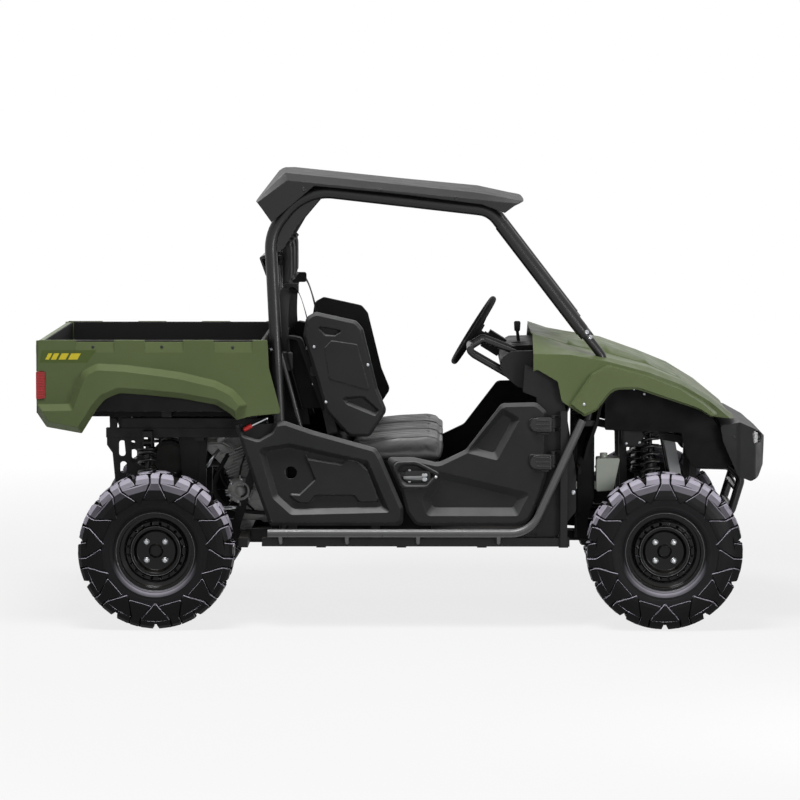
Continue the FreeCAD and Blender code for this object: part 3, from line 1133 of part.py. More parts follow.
# ---------------------------------------------------------------- cargo bed
def cargo_tub():
    """Steel tub open at the tail: ribbed floor, side and front walls, folded rim and hinge channels."""
    w, t = BED_HALF, BED_WALL
    floor = box(BED_REAR_X, BED_FRONT_X, -w - t, w + t, BED_FLOOR_Z, BED_FLOOR_Z + t)
    walls = [box(BED_REAR_X, BED_FRONT_X, s, s + t, BED_FLOOR_Z, BED_RIM_Z) for s in (-w - t, w)]
    front = box(BED_FRONT_X - t, BED_FRONT_X, -w - t, w + t, BED_FLOOR_Z, BED_RIM_Z)
    rims = [box(BED_REAR_X, BED_FRONT_X, -BED_SKIN_Y + CLEAR, -w, BED_RIM_Z - 8, BED_RIM_Z),
            box(BED_REAR_X, BED_FRONT_X, w, BED_SKIN_Y - CLEAR, BED_RIM_Z - 8, BED_RIM_Z)]
    ribs = [slab([(y - 26, BED_FLOOR_Z + t - 1), (y + 26, BED_FLOOR_Z + t - 1), (y + 18, BED_FLOOR_Z + t + 8),
                  (y - 18, BED_FLOOR_Z + t + 8)], "yz", BED_REAR_X + 30, BED_FRONT_X - t - 30)
            for y in (-560, -400, -240, -80, 80, 240, 400, 560)]
    channels = [box(-1400, -620, s * 330 - 22, s * 330 + 22, BED_CHANNEL_Z, BED_FLOOR_Z) for s in (1, -1)]
    cross = [box(x - 20, x + 20, -w, w, 880, BED_FLOOR_Z) for x in (-1380, -1000, -640)]
    hinges = []
    for s in (1, -1):
        y = s * 330
        hinges.append(box(BED_PIVOT_X - 18, BED_PIVOT_X + 18, y - 4, y + 14, BED_PIVOT_Z, 862))
        hinges.append(drum_y(BED_PIVOT_X, BED_PIVOT_Z, y - 4, y + 14, 18))
    for y in GATE_HINGE_Y:
        hinges.append(drum_y(GATE_AXIS_X, GATE_AXIS_Z, y - 58, y + 58, 4))
        for y0 in (y - 58, y + 41):
            hinges.append(fuse([drum_y(GATE_AXIS_X, GATE_AXIS_Z, y0, y0 + 17, 8),
                                box(GATE_AXIS_X, BED_REAR_X + 10, y0, y0 + 17, GATE_AXIS_Z - 8, GATE_AXIS_Z + 8)]))
    made = fuse([floor, *walls, front, *rims, *ribs, *channels, *cross, *hinges])
    return made.cut([drum_y(BED_PIVOT_X, BED_PIVOT_Z, s * 330 - 8, s * 330 + 20, 8 + RUN) for s in (1, -1)])


BED_SIDE = [(-1536, 1208, 8), (-1378, 1208), (-1378, 1200), (-1216, 1200), (-1216, 1208), (-1088, 1208), (-1088, 1200), (-926, 1200),
            (-926, 1208), (-798, 1208), (-798, 1200), (-634, 1200), (-634, 1208), (-572, 1208, 6), (-566, 1090), (-516, 900, 10), (-640, 888),
            (-702, 872, 6), (-730, 898, 30), (-789, 936, 60), (-939, 963, 200), (-1090, 978, 200), (-1195, 985, 80),
            (-1255, 959, 60), (-1290, 918, 30), (-1354, 815, 6), (-1502, 842, 20), (-1541, 900, 20), (-1544, 960, 10)]
BED_FLARE = [(-1407, 940, 10), (-1353, 1079, 60), (-1290, 1110, 40), (-1165, 1104, 100), (-939, 1074, 100), (-789, 1038, 60),
             (-714, 1002, 60), (-655, 934, 10), (-702, 872, 6), (-730, 898, 30), (-789, 936, 60), (-939, 963, 200),
             (-1090, 978, 200), (-1195, 985, 80), (-1255, 959, 60), (-1290, 918, 30), (-1354, 815, 6), (-1502, 842, 10),
             (-1541, 900, 10), (-1541, 938, 4)]
TAIL_LAMP = [(-1546, 958, 4), (-1506, 962, 6), (-1506, 1076, 6), (-1546, 1076, 4)]


def bed_side():
    """Moulded side panel with its wheel arch flare, three stepped pockets at the rim and the lamp notch."""
    y0, y1 = BED_SKIN_Y, BED_SKIN_Y + BED_SKIN_T
    skin = slab(BED_SIDE, "xz", y0, y1)
    flare = tapered(BED_FLARE, "xz", y1 - 2, y1 + FLARE, 26)
    arch = slab([(-640, 888), (-702, 872), (-730, 898, 30), (-789, 936, 60), (-939, 963, 200), (-1090, 978, 200),
                 (-1195, 985, 80), (-1255, 959, 60), (-1290, 918, 30), (-1354, 815), (-1354, 700), (-640, 700)],
                "xz", y1 - 10, y1 + FLARE + 10)
    made = fuse([skin, flare.cut(arch)])
    for x0 in (-1376, -1086, -796):
        wedge = Part.makePolygon([V(x0, y1 + 1, 1150), V(x0, y1 + 1, 1230), V(x0, y1 - 8, 1230), V(x0, y1 - 8, 1202),
                                  V(x0, y1 + 1, 1150)])
        made = made.cut(Part.Face(wedge).extrude(V(160, 0, 0)))
    made = made.cut(slab(TAIL_LAMP, "xz", y1 - 30, y1 + 30))
    tail = box(-1544, -1536, 664, y1 - 4, 900, 1205)
    made = fuse([made, tail.cut(slab(TAIL_LAMP, "xz", 600, 800))])
    return max(made.Solids, key=lambda s: s.Volume)


def tail_lamps():
    made = []
    for s in (1, -1):
        y0, y1 = sorted((s * (BED_SKIN_Y - 4), s * (BED_SKIN_Y + BED_SKIN_T + 4)))
        lamp = slab(inset(TAIL_LAMP, 1.0), "xz", y0, y1)
        made.append(lamp)
    return made


def tailgate():
    """Drop gate between the bed sides, with a raised field, its latch handle and hinge barrels."""
    half = BED_HALF + BED_WALL - 16
    x1 = BED_REAR_X - MOVE_CLEAR
    x0 = x1 - GATE_T
    gate = box(x0, x1, -half, half, 917, 1204)
    field = tapered([(-520, 950, 20), (520, 950, 20), (520, 1150, 20), (-520, 1150, 20)], "yz", x0, x0 + 8, 8)
    handle = slab([(-90, 1150, 8), (90, 1150, 8), (90, 1186, 8), (-90, 1186, 8)], "yz", x0 - 12, x0 + 1)
    latch = [box(x0 - 14, x0 + 2, min(s * 560, s * 640), max(s * 560, s * 640), 1150, 1184) for s in (1, -1)]
    barrels = [drum_y(GATE_AXIS_X, GATE_AXIS_Z, y - 40, y + 40, 9) for y in GATE_HINGE_Y]
    links = [box(GATE_AXIS_X - 9, GATE_AXIS_X + 9, y - 40, y + 40, GATE_AXIS_Z, 920) for y in GATE_HINGE_Y]
    made = fuse([gate.cut(field), handle, *latch, *barrels, *links])
    return made.cut([drum_y(GATE_AXIS_X, GATE_AXIS_Z, y - 50, y + 50, 4 + RUN) for y in GATE_HINGE_Y])


# ---------------------------------------------------------------- writing the nodes
def build():
    os.makedirs(OUT, exist_ok=True)
    ends = [("front", FRONT_AXLE_X, FRONT_TYRE_W, HUB_FACE_FRONT), ("rear", REAR_AXLE_X, REAR_TYRE_W, HUB_FACE_REAR)]
    for end, x, width, face in ends:
        for word, side in (("left", 1), ("right", -1)):
            save(f"tyre_{end}_{word}", tyre(x, width, side))
            save(f"wheel_{end}_{word}", [rim(x, width, side, face), hub(x, width, side, face)])
            if end == "front":
                save(f"front_knuckle_{word}", knuckle(x, width, side, face, True))
    save("rear_knuckles", [knuckle(REAR_AXLE_X, REAR_TYRE_W, s, HUB_FACE_REAR, False) for s in (1, -1)])
    save("suspension_arms", suspension_arms())
    dampers, springs = [], []
    for xt, yt, zt, xb, yb, zb in SHOCKS:
        for s in (1, -1):
            body, spring = shock((xt, s * yt, zt), (xb, s * yb, zb))
            dampers.append(body)
            springs.append(spring)
    save("dampers", dampers)
    save("coil_springs", springs)
    save("tie_rods", tie_rods())
    save("steering_rack", rack_housing())
    save("drive_line", drive_line())
    save("frame_centre", frame_centre())
    save("frame_rear", frame_rear())
    save("frame_front", frame_front())
    save("hitch_receiver", hitch())
    save("sill_bars", both(sill_bar()))
    save("floor_pan", floor_pan())
    save("seat_box", seat_box())
    save("side_cover_left", side_cover())
    save("side_cover_right", mirror(side_cover()))
    save("door_left", door())
    save("door_right", mirror(door()))
    save("shoulder_bolsters", both(shoulder_bolster()))
    save("seat_cushions", seat_parts(SEAT_CUSHION))
    save("seat_backs", seat_parts(SEAT_BACK))
    save("headrests", headrests())
    save("cage_left", cage_side())
    save("cage_right", mirror(cage_side()))
    save("cage_crossbars", cage_crossbars())
    save("roof", roof())
    save("dashboard", dashboard())
    save("steering_column", steering_column())
    save("steering_wheel", steering_wheel())
    save("grab_handle", grab_handle())
    save("cab_controls", cab_controls())
    save("bed_release", mirror(bed_release()))
    save("hood", hood())
    save("fender_left", fenders())
    save("fender_right", mirror(fenders()))
    save("front_bumper", front_bumper())
    save("headlights", headlights())
    save("brush_guard", brush_guard())
    save("radiator", radiator())
    save("coolant_tank", coolant_tank())
    save("wheel_liners", wheel_liners())
    save("engine", engine())
    save("muffler", muffler())
    save("cargo_tub", cargo_tub())
    save("bed_side_left", bed_side())
    save("bed_side_right", mirror(bed_side()))
    save("tail_lamps", tail_lamps())
    save("tailgate", tailgate())


build()
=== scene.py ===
import math
import bmesh
import bpy
import numpy as np
from mathutils import Matrix, Vector
from mathutils.bvhtree import BVHTree


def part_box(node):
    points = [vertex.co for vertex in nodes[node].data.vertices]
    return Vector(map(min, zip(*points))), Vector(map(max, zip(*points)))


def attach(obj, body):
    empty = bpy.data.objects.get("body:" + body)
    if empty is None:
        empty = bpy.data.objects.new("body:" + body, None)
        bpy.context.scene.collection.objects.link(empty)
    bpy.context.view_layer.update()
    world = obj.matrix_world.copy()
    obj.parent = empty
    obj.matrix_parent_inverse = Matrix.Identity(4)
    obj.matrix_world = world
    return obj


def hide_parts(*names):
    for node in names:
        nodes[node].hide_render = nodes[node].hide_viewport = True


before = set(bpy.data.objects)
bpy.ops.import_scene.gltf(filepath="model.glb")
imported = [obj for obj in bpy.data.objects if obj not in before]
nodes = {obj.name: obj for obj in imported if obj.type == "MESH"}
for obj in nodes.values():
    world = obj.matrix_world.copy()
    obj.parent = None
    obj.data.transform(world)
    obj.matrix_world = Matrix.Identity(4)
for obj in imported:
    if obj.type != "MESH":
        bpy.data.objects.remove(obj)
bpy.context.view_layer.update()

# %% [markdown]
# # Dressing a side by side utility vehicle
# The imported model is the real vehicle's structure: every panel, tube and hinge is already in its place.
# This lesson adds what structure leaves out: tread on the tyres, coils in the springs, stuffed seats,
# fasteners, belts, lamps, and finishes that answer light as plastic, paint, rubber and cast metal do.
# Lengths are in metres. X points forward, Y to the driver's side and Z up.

# %% [markdown]
# A vehicle looks right through a long lens from far away, because parallel edges stay parallel. The camera
# stands a little above the roof and turns down a few degrees.

# %% Camera
camera_data = bpy.data.cameras.new("camera")
camera_data.lens = 183.6
camera_data.sensor_width = 36.0
camera_data.clip_end = 200.0
camera = bpy.data.objects.new("camera", camera_data)
camera.location = (0.140, -17.785, 2.284)
camera.rotation_euler = (math.pi / 2 - 0.0769, 0.0, 0.0091)
bpy.context.scene.collection.objects.link(camera)
bpy.context.scene.camera = camera
bpy.context.scene.view_settings.view_transform = "Standard"

# %% [markdown]
# Every tree in this file is built from the same three moves: add a node, fill its sockets, link it on. A
# short helper does all three. A value that is itself a socket is linked, and anything else is set.

# %% Helpers for node trees
def put(tree, kind, inputs=None, **options):
    """Adds a node, sets its options, then fills or links its inputs by name or by number."""
    made = tree.nodes.new(kind)
    for key, value in options.items():
        setattr(made, key, value)
    for key, value in (inputs or {}).items():
        if isinstance(value, bpy.types.NodeSocket):
            tree.links.new(value, made.inputs[key])
        else:
            made.inputs[key].default_value = value
    return made


def calc(tree, operation, a, b=0.0, clamp=False):
    """One Math node, and its result."""
    return put(tree, "ShaderNodeMath", {0: a, 1: b}, operation=operation, use_clamp=clamp).outputs[0]


def mix_colour(tree, share, a, b):
    """Colour a where share is 0, colour b where it is 1."""
    return put(tree, "ShaderNodeMix", {0: share, 6: a, 7: b}, data_type="RGBA").outputs[2]


def remap(tree, value, low, high, to_low=0.0, to_high=1.0):
    """Stretches a range of values to another range, with the ends held."""
    return put(tree, "ShaderNodeMapRange", {0: value, 1: low, 2: high, 3: to_low, 4: to_high}).outputs[0]


def noise(tree, where, scale, detail=2.0, roughness=0.5):
    """Fractal noise from 0 to 1 at the given repeats a metre."""
    return put(tree, "ShaderNodeTexNoise", {"Vector": where, "Scale": scale, "Detail": detail,
                                            "Roughness": roughness}).outputs[0]


def new_group(name, inputs, outputs):
    """An empty shader node group with named, typed sockets."""
    group = bpy.data.node_groups.new(name, "ShaderNodeTree")
    for label, kind, value in inputs:
        group.interface.new_socket(name=label, in_out="INPUT", socket_type=kind).default_value = value
    for label, kind in outputs:
        group.interface.new_socket(name=label, in_out="OUTPUT", socket_type=kind)
    return group, put(group, "NodeGroupInput").outputs, put(group, "NodeGroupOutput").inputs


COLOUR, NUMBER, ARROW = "NodeSocketColor", "NodeSocketFloat", "NodeSocketVector"

# %% [markdown]
# Moulds for rough service panels are etched, which leaves a leather-like grain about a millimetre across.
# A cell pattern bent by noise gives that grain. It is made once, as a group that puts out a height.

# %% Shared effect: moulded grain
grain_group, g_in, g_out = new_group(
    "moulded_grain", [("Cells per metre", NUMBER, 700.0), ("Bend", NUMBER, 0.6)], [("Height", NUMBER)])
place = put(grain_group, "ShaderNodeTexCoord").outputs["Object"]
bent = put(grain_group, "ShaderNodeTexNoise", {"Vector": place, "Scale": 260.0}).outputs["Color"]
shift = put(grain_group, "ShaderNodeVectorMath", {0: bent, "Scale": 0.002}, operation="SCALE").outputs[0]
moved = put(grain_group, "ShaderNodeVectorMath", {0: place, 1: shift}).outputs[0]
cells = put(grain_group, "ShaderNodeTexVoronoi", {"Vector": moved, "Scale": g_in["Cells per metre"]},
            feature="SMOOTH_F1")
fine = noise(grain_group, place, 1500.0)
height = calc(grain_group, "ADD", cells.outputs["Distance"],
              calc(grain_group, "MULTIPLY", fine, g_in["Bend"]))
grain_group.links.new(height, g_out["Height"])

# %% [markdown]
# No moulded or welded edge is truly sharp. The bevel node looks at the faces near each point and gives
# back the normal that a small radius would have, so even a crisp CAD edge catches a line of light. Where
# that normal leaves the face's own, there is an edge, and the same test gives a mask for scuffed edges.
# On black plastic and the gloss black wheels, a light grey laid along that mask is a painted edge
# highlight, not wear.

# %% Shared effect: rounded edges, scuffs and painted edge highlights
edge_group, g_in, g_out = new_group("soft_edge", [("Radius", NUMBER, 0.003), ("Gain", NUMBER, 4.0)],
                                    [("Normal", ARROW), ("Scuff", NUMBER)])
rounded = put(edge_group, "ShaderNodeBevel", {"Radius": g_in["Radius"]}, samples=4).outputs[0]
facing = put(edge_group, "ShaderNodeNewGeometry").outputs["Normal"]
same = put(edge_group, "ShaderNodeVectorMath", {0: rounded, 1: facing},
           operation="DOT_PRODUCT").outputs["Value"]
away = calc(edge_group, "MULTIPLY", calc(edge_group, "SUBTRACT", 1.0, same), g_in["Gain"], clamp=True)
place = put(edge_group, "ShaderNodeTexCoord").outputs["Object"]
patchy = remap(edge_group, noise(edge_group, place, 60.0, 3.0), 0.42, 0.7)
edge_group.links.new(rounded, g_out["Normal"])
edge_group.links.new(calc(edge_group, "MULTIPLY", away, patchy), g_out["Scuff"])

# %% [markdown]
# A working vehicle carries a trace of dust: more on faces that look up and near the ground, almost none
# on the sides. On black plastic, tread and sill tubes the same pale tint is laid on thick as a painted
# sheen, where overhead light falls on faces that look up. The group tints a colour and puts out where the
# tint lies, to dull the gloss there too.

# %% Shared effect: settled dust and painted top sheen
dust_and_sheen_group, g_in, g_out = new_group(
    "settled_dust", [("Color", COLOUR, (0.5, 0.5, 0.5, 1.0)), ("Dust", COLOUR, (0.30, 0.27, 0.22, 1.0)),
                     ("Amount", NUMBER, 0.1)], [("Color", COLOUR), ("Mask", NUMBER)])
place = put(dust_and_sheen_group, "ShaderNodeTexCoord").outputs["Object"]
up = put(dust_and_sheen_group, "ShaderNodeSeparateXYZ",
         {0: put(dust_and_sheen_group, "ShaderNodeNewGeometry").outputs["Normal"]}).outputs[2]
tall = put(dust_and_sheen_group, "ShaderNodeSeparateXYZ", {0: place}).outputs[2]
flat = remap(dust_and_sheen_group, up, 0.15, 0.95, 0.0, 1.0)
low = remap(dust_and_sheen_group, tall, 0.1, 0.9, 1.0, 0.35)
blotch = remap(dust_and_sheen_group, noise(dust_and_sheen_group, place, 9.0, 5.0, 0.62), 0.3, 0.75, 0.72, 1.0)
mask = calc(dust_and_sheen_group, "MULTIPLY", calc(dust_and_sheen_group, "MULTIPLY", flat, low),
            calc(dust_and_sheen_group, "MULTIPLY", blotch, g_in["Amount"]), clamp=True)
dust_and_sheen_group.links.new(mix_colour(dust_and_sheen_group, mask, g_in["Color"], g_in["Dust"]), g_out["Color"])
dust_and_sheen_group.links.new(mask, g_out["Mask"])

# %% [markdown]
# Colour in a big moulding is never even: it drifts a little where the plastic flowed and cooled. A slow
# noise moves the colour between itself and a deeper version of itself.

# %% Shared effect: uneven tone
tone_group, g_in, g_out = new_group("uneven_tone", [("Color", COLOUR, (0.5, 0.5, 0.5, 1.0)),
                                                    ("Deep", COLOUR, (0.4, 0.4, 0.4, 1.0)),
                                                    ("Per metre", NUMBER, 3.0)], [("Color", COLOUR)])
place = put(tone_group, "ShaderNodeTexCoord").outputs["Object"]
drift = noise(tone_group, place, g_in["Per metre"], 4.0, 0.55)
shared = remap(tone_group, drift, 0.3, 0.7)
tone_group.links.new(mix_colour(tone_group, shared, g_in["Color"], g_in["Deep"]), g_out["Color"])

# %% [markdown]
# Most finishes here are one recipe with different values: a tone, dust over it, a grain in the surface
# and soft edges with scuffs. On some finishes the dust tint is a painted sheen and the scuff colour a
# painted edge highlight. The Principled shader stays in each material, and what doesn't vary over the
# surface is set straight on its sockets.

# %% Recipe for painted and moulded finishes
def grey(v):
    """A plain grey of that linear value."""
    return (v, v, v, 1.0)


def finish_of(name, colour, deep, rough, grain=0.0, cells=700.0, dust_and_sheen=0.1, edge=0.003, scuff_and_glint=None,
              spread=0.08, dust_and_sheen_tint=None, **fixed):
    """A material: colour drifting to deep, roughness near rough, grain depth and edge radius in metres."""
    made = bpy.data.materials.new(name)
    made.use_nodes = True
    tree = made.node_tree
    shader = tree.nodes["Principled BSDF"]
    for key, value in fixed.items():
        shader.inputs[key.replace("_", " ").title().replace("Ior", "IOR")].default_value = value
    tone = put(tree, "ShaderNodeGroup", node_tree=tone_group)
    tone.inputs["Color"].default_value, tone.inputs["Deep"].default_value = colour, deep
    soft = put(tree, "ShaderNodeGroup", node_tree=edge_group)
    soft.inputs["Radius"].default_value = edge
    worn_and_glinting = tone.outputs["Color"]
    if scuff_and_glint:
        worn_and_glinting = mix_colour(tree, calc(tree, "MULTIPLY", soft.outputs["Scuff"], scuff_and_glint[1]), worn_and_glinting, scuff_and_glint[0])
    dust_and_sheen_node = put(tree, "ShaderNodeGroup", node_tree=dust_and_sheen_group)
    tree.links.new(worn_and_glinting, dust_and_sheen_node.inputs["Color"])
    dust_and_sheen_node.inputs["Amount"].default_value = dust_and_sheen
    if dust_and_sheen_tint:
        dust_and_sheen_node.inputs["Dust"].default_value = dust_and_sheen_tint
    tree.links.new(dust_and_sheen_node.outputs["Color"], shader.inputs["Base Color"])
    place = put(tree, "ShaderNodeTexCoord").outputs["Object"]
    sheen = remap(tree, noise(tree, place, 14.0, 4.0), 0.3, 0.7, rough - spread, rough + spread)
    dull = calc(tree, "ADD", sheen, calc(tree, "MULTIPLY", dust_and_sheen_node.outputs["Mask"], 0.3), clamp=True)
    tree.links.new(dull, shader.inputs["Roughness"])
    normal = soft.outputs["Normal"]
    if grain:
        texture = put(tree, "ShaderNodeGroup", node_tree=grain_group)
        texture.inputs["Cells per metre"].default_value = cells
        normal = put(tree, "ShaderNodeBump", {"Height": texture.outputs["Height"], "Normal": normal,
                                              "Distance": grain, "Strength": 0.6}).outputs[0]
    tree.links.new(normal, shader.inputs["Normal"])
    return made

# %% [markdown]
# Colours are easier to choose as the red, green and blue of a paint chip, from 0 to 255. Shaders want
# them linear, so a helper converts them.

# %% Colours
def chip(r, g, b):
    """A paint chip's colour as linear values."""
    return tuple(((v / 255 + 0.055) / 1.055) ** 2.4 for v in (r, g, b)) + (1.0,)

# %% [markdown]
# The outside panels are green all through, moulded against a polished tool: an even satin gloss, no metal
# flake and a faint waviness. The textured panels are black plastic from an etched tool, and the frame is
# steel under a powder coat, which flows thin at the edges.

# %% Plastics and coated steel
green = finish_of("green_moulding", chip(90, 101, 67), chip(83, 94, 61), 0.42, grain=0.00006, cells=240.0,
                  dust_and_sheen=0.03, edge=0.004, scuff_and_glint=(chip(150, 160, 124), 0.3), specular_ior_level=0.14)
# The black plastic's pale grey on faces that look up is a painted sheen with a little dust, and the light
# grey along its edges is a painted edge highlight.
black = finish_of("etched_black_plastic", chip(42, 42, 43), chip(35, 35, 36), 0.5, grain=0.0003, dust_and_sheen=1.0,
                  edge=0.006, scuff_and_glint=(chip(112, 112, 112), 0.5), dust_and_sheen_tint=chip(150, 150, 150),
                  specular_ior_level=0.1)
darker = finish_of("plain_dark_plastic", chip(20, 20, 21), chip(15, 15, 16), 0.5, grain=0.0002, dust_and_sheen=0.06,
                   edge=0.003, scuff_and_glint=(chip(70, 70, 70), 0.3), specular_ior_level=0.2)
# This plastic is near pure black as painted shade: the wheel wells, the seat box and the radiator core are
# darkened for the shade that falls in them, over the black of the real plastic.
shade = finish_of("inner_wing_plastic", chip(5, 5, 6), chip(4, 4, 4), 0.6, grain=0.0003, dust_and_sheen=0.1,
                  edge=0.003, scuff_and_glint=(chip(40, 40, 40), 0.3), specular_ior_level=0.12)
roof_skin = finish_of("roof_skin", chip(31, 31, 32), chip(29, 29, 30), 0.52, grain=0.0003, cells=500.0,
                      dust_and_sheen=0.05, edge=0.006, scuff_and_glint=(chip(96, 96, 96), 0.3), specular_ior_level=0.25)
powder = finish_of("powder_coat", chip(24, 24, 25), chip(20, 20, 21), 0.33, grain=0.0001, cells=900.0,
                   dust_and_sheen=0.06, edge=0.002, scuff_and_glint=(chip(110, 108, 105), 0.25), specular_ior_level=0.35)
# The sill tubes' pale tint on faces that look up is a painted highlight with some dust.
sill_gloss = finish_of("sill_gloss", chip(54, 54, 55), chip(49, 49, 50), 0.34, dust_and_sheen=0.5, edge=0.002,
                       dust_and_sheen_tint=chip(170, 170, 170), specular_ior_level=0.7)
liner = finish_of("bed_coating", chip(16, 16, 17), chip(12, 12, 13), 0.6, grain=0.0005, cells=420.0,
                  dust_and_sheen=0.3, edge=0.004, scuff_and_glint=(chip(120, 116, 108), 0.6), specular_ior_level=0.18)
# The light grey on the wheels' bent edges is a painted edge highlight.
wheel_paint = finish_of("wheel_gloss_black", chip(7, 7, 8), chip(5, 5, 6), 0.14, dust_and_sheen=0.05, edge=0.0018,
                        spread=0.04, scuff_and_glint=(chip(130, 130, 130), 0.45), specular_ior_level=0.22)
axle_paint = finish_of("axle_paint", chip(10, 10, 11), chip(7, 7, 8), 0.45, grain=0.0002, dust_and_sheen=0.15,
                       edge=0.002, scuff_and_glint=(chip(100, 96, 90), 0.3), specular_ior_level=0.25)
print("coated finishes", [m.name for m in (green, black, darker, shade, roof_skin, powder, liner,
                                           wheel_paint, axle_paint)])

# %% [markdown]
# Metals are told apart by roughness and by how even it is. Cast aluminium is blasted and dull, zinc plate
# is brighter and slightly blue, and both darken where dust lies.

# %% Bare metals
cast = finish_of("cast_aluminium", chip(222, 222, 220), chip(140, 140, 139), 0.42, grain=0.0008,
                 cells=420.0, dust_and_sheen=0.2, edge=0.003, scuff_and_glint=(chip(220, 220, 218), 0.8), spread=0.12,
                 metallic=0.15)
zinc = finish_of("zinc_plate", chip(196, 198, 202), chip(160, 162, 166), 0.3, dust_and_sheen=0.06, edge=0.001,
                 spread=0.08, metallic=1.0)
exhaust = finish_of("heat_blackened_steel", chip(34, 32, 30), chip(22, 20, 19), 0.5, grain=0.0003,
                    dust_and_sheen=0.15, edge=0.002, scuff_and_glint=(chip(96, 88, 80), 0.5), spread=0.12, metallic=0.5)

# %% [markdown]
# Soft surfaces: tyre rubber is nearly black with a bluish bloom and keeps dust in its grooves, while the
# pale lilac on the tread's faces that look up is mostly a painted sheen. The seats are grey vinyl with a
# fine leather grain, and the grips are soft rubber.

# %% Rubber, vinyl and webbing
rubber = finish_of("tyre_rubber", chip(28, 28, 30), chip(23, 23, 24), 0.5, grain=0.0003, cells=900.0,
                   dust_and_sheen=1.6, edge=0.002, scuff_and_glint=(chip(72, 70, 76), 0.3), dust_and_sheen_tint=chip(140, 137, 146),
                   specular_ior_level=0.08)
# The tread's pale lilac on faces that look up is a painted sheen from overhead light, with some dust.
tread_rubber = finish_of("tread_rubber", chip(16, 16, 17), chip(12, 12, 13), 0.42, grain=0.0003,
                         cells=900.0, dust_and_sheen=6.0, edge=0.003, scuff_and_glint=(chip(70, 68, 74), 0.12),
                         dust_and_sheen_tint=chip(172, 167, 180), specular_ior_level=0.10)
groove_rubber = finish_of("groove_rubber", chip(16, 16, 17), chip(12, 12, 13), 0.6, dust_and_sheen=0.05, edge=0.002,
                          specular_ior_level=0.05)
vinyl = finish_of("grey_vinyl", chip(92, 92, 92), chip(84, 84, 84), 0.45, grain=0.0007, cells=420.0,
                  dust_and_sheen=0.05, edge=0.002, specular_ior_level=0.4)
grip = finish_of("soft_grip", chip(32, 32, 33), chip(26, 26, 27), 0.7, grain=0.0004, cells=800.0, dust_and_sheen=0.03,
                 edge=0.002, specular_ior_level=0.3)
tank = finish_of("natural_tank_plastic", chip(170, 176, 166), chip(156, 162, 152), 0.4, grain=0.0001,
                 dust_and_sheen=0.1, edge=0.003, specular_ior_level=0.4)
lug_steel = finish_of("bright_nut_steel", chip(186, 188, 190), chip(150, 152, 155), 0.28, dust_and_sheen=0.03,
                      edge=0.0008, metallic=0.85)
plastic_grey = finish_of("grey_fitting_plastic", chip(34, 34, 36), chip(27, 27, 28), 0.5, grain=0.0002,
                         dust_and_sheen=0.15, edge=0.002, specular_ior_level=0.15)
latch_grey = finish_of("latch_casting", chip(118, 119, 120), chip(98, 99, 100), 0.4, dust_and_sheen=0.03, edge=0.001,
                       metallic=0.3)
decal_yellow = finish_of("decal_yellow", chip(206, 190, 34), chip(196, 178, 28), 0.35, dust_and_sheen=0.02, edge=0.0)
# The next finish paints highlights: it is the grey of the thin rings that stand for the light that a
# wheel's bent edges catch.
rim_edge = finish_of("rim_edge", chip(96, 96, 97), chip(80, 80, 81), 0.3, dust_and_sheen=0.03, edge=0.0008,
                     metallic=0.5)
decal_green = finish_of("decal_green", chip(76, 90, 46), chip(70, 84, 40), 0.35, dust_and_sheen=0.02, edge=0.0,
                        specular_ior_level=0.2)
red_knob = finish_of("red_knob", chip(196, 34, 30), chip(170, 26, 24), 0.35, dust_and_sheen=0.02, edge=0.002)

# %% [markdown]
# A lens is clear plastic with flutes moulded inside it. The flutes are a wave across the lens that only
# bends the normal, so that the lens breaks up what it reflects.

# %% Lenses
def lens_of(name, colour, rough, flutes, transmission):
    """A lens material: coloured, fluted across, and partly see-through."""
    made = bpy.data.materials.new(name)
    made.use_nodes = True
    tree = made.node_tree
    shader = tree.nodes["Principled BSDF"]
    for key, value in (("Base Color", colour), ("Roughness", rough), ("IOR", 1.49),
                       ("Transmission Weight", transmission)):
        shader.inputs[key].default_value = value
    place = put(tree, "ShaderNodeTexCoord").outputs["Object"]
    wave = put(tree, "ShaderNodeTexWave", {"Vector": place, "Scale": flutes},
               bands_direction="Z").outputs[1]
    bump = put(tree, "ShaderNodeBump", {"Height": wave, "Distance": 0.0008, "Strength": 0.7}).outputs[0]
    tree.links.new(bump, shader.inputs["Normal"])
    return made


red_lens = lens_of("red_lens", chip(170, 12, 14), 0.14, 28.0, 0.25)
clear_lens = lens_of("clear_lens", chip(236, 240, 242), 0.04, 18.0, 0.9)
print("lenses", red_lens.name, clear_lens.name)

# %% [markdown]
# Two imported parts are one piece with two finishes: the gate is green outside and coated black towards the
# load, and the radiator has a black core between bare aluminium tanks. A mask on the place along one axis
# splits such a material, and the same mask drives colour, roughness and metal.

# %% Two finishes on one part
def split(name, axis, edge, outer, base, other, rough, metal):
    """A copy of the finish base that changes to other where the place along axis passes edge."""
    made = base.copy()
    made.name = name
    tree = made.node_tree
    shader = tree.nodes["Principled BSDF"]
    place = put(tree, "ShaderNodeSeparateXYZ",
                {0: put(tree, "ShaderNodeTexCoord").outputs["Object"]}).outputs[axis]
    along = calc(tree, "ABSOLUTE", place) if outer else place
    mask = remap(tree, along, edge - 0.0002, edge + 0.0002)
    for socket, value in (("Base Color", other), ("Roughness", rough), ("Metallic", metal)):
        links = shader.inputs[socket].links
        old = links[0].from_socket if links else shader.inputs[socket].default_value
        if socket == "Base Color":
            new = mix_colour(tree, mask, old, value)
        else:
            new = put(tree, "ShaderNodeMix", {0: mask, 2: old, 3: value}).outputs[0]
        tree.links.new(new, shader.inputs[socket])
    return made


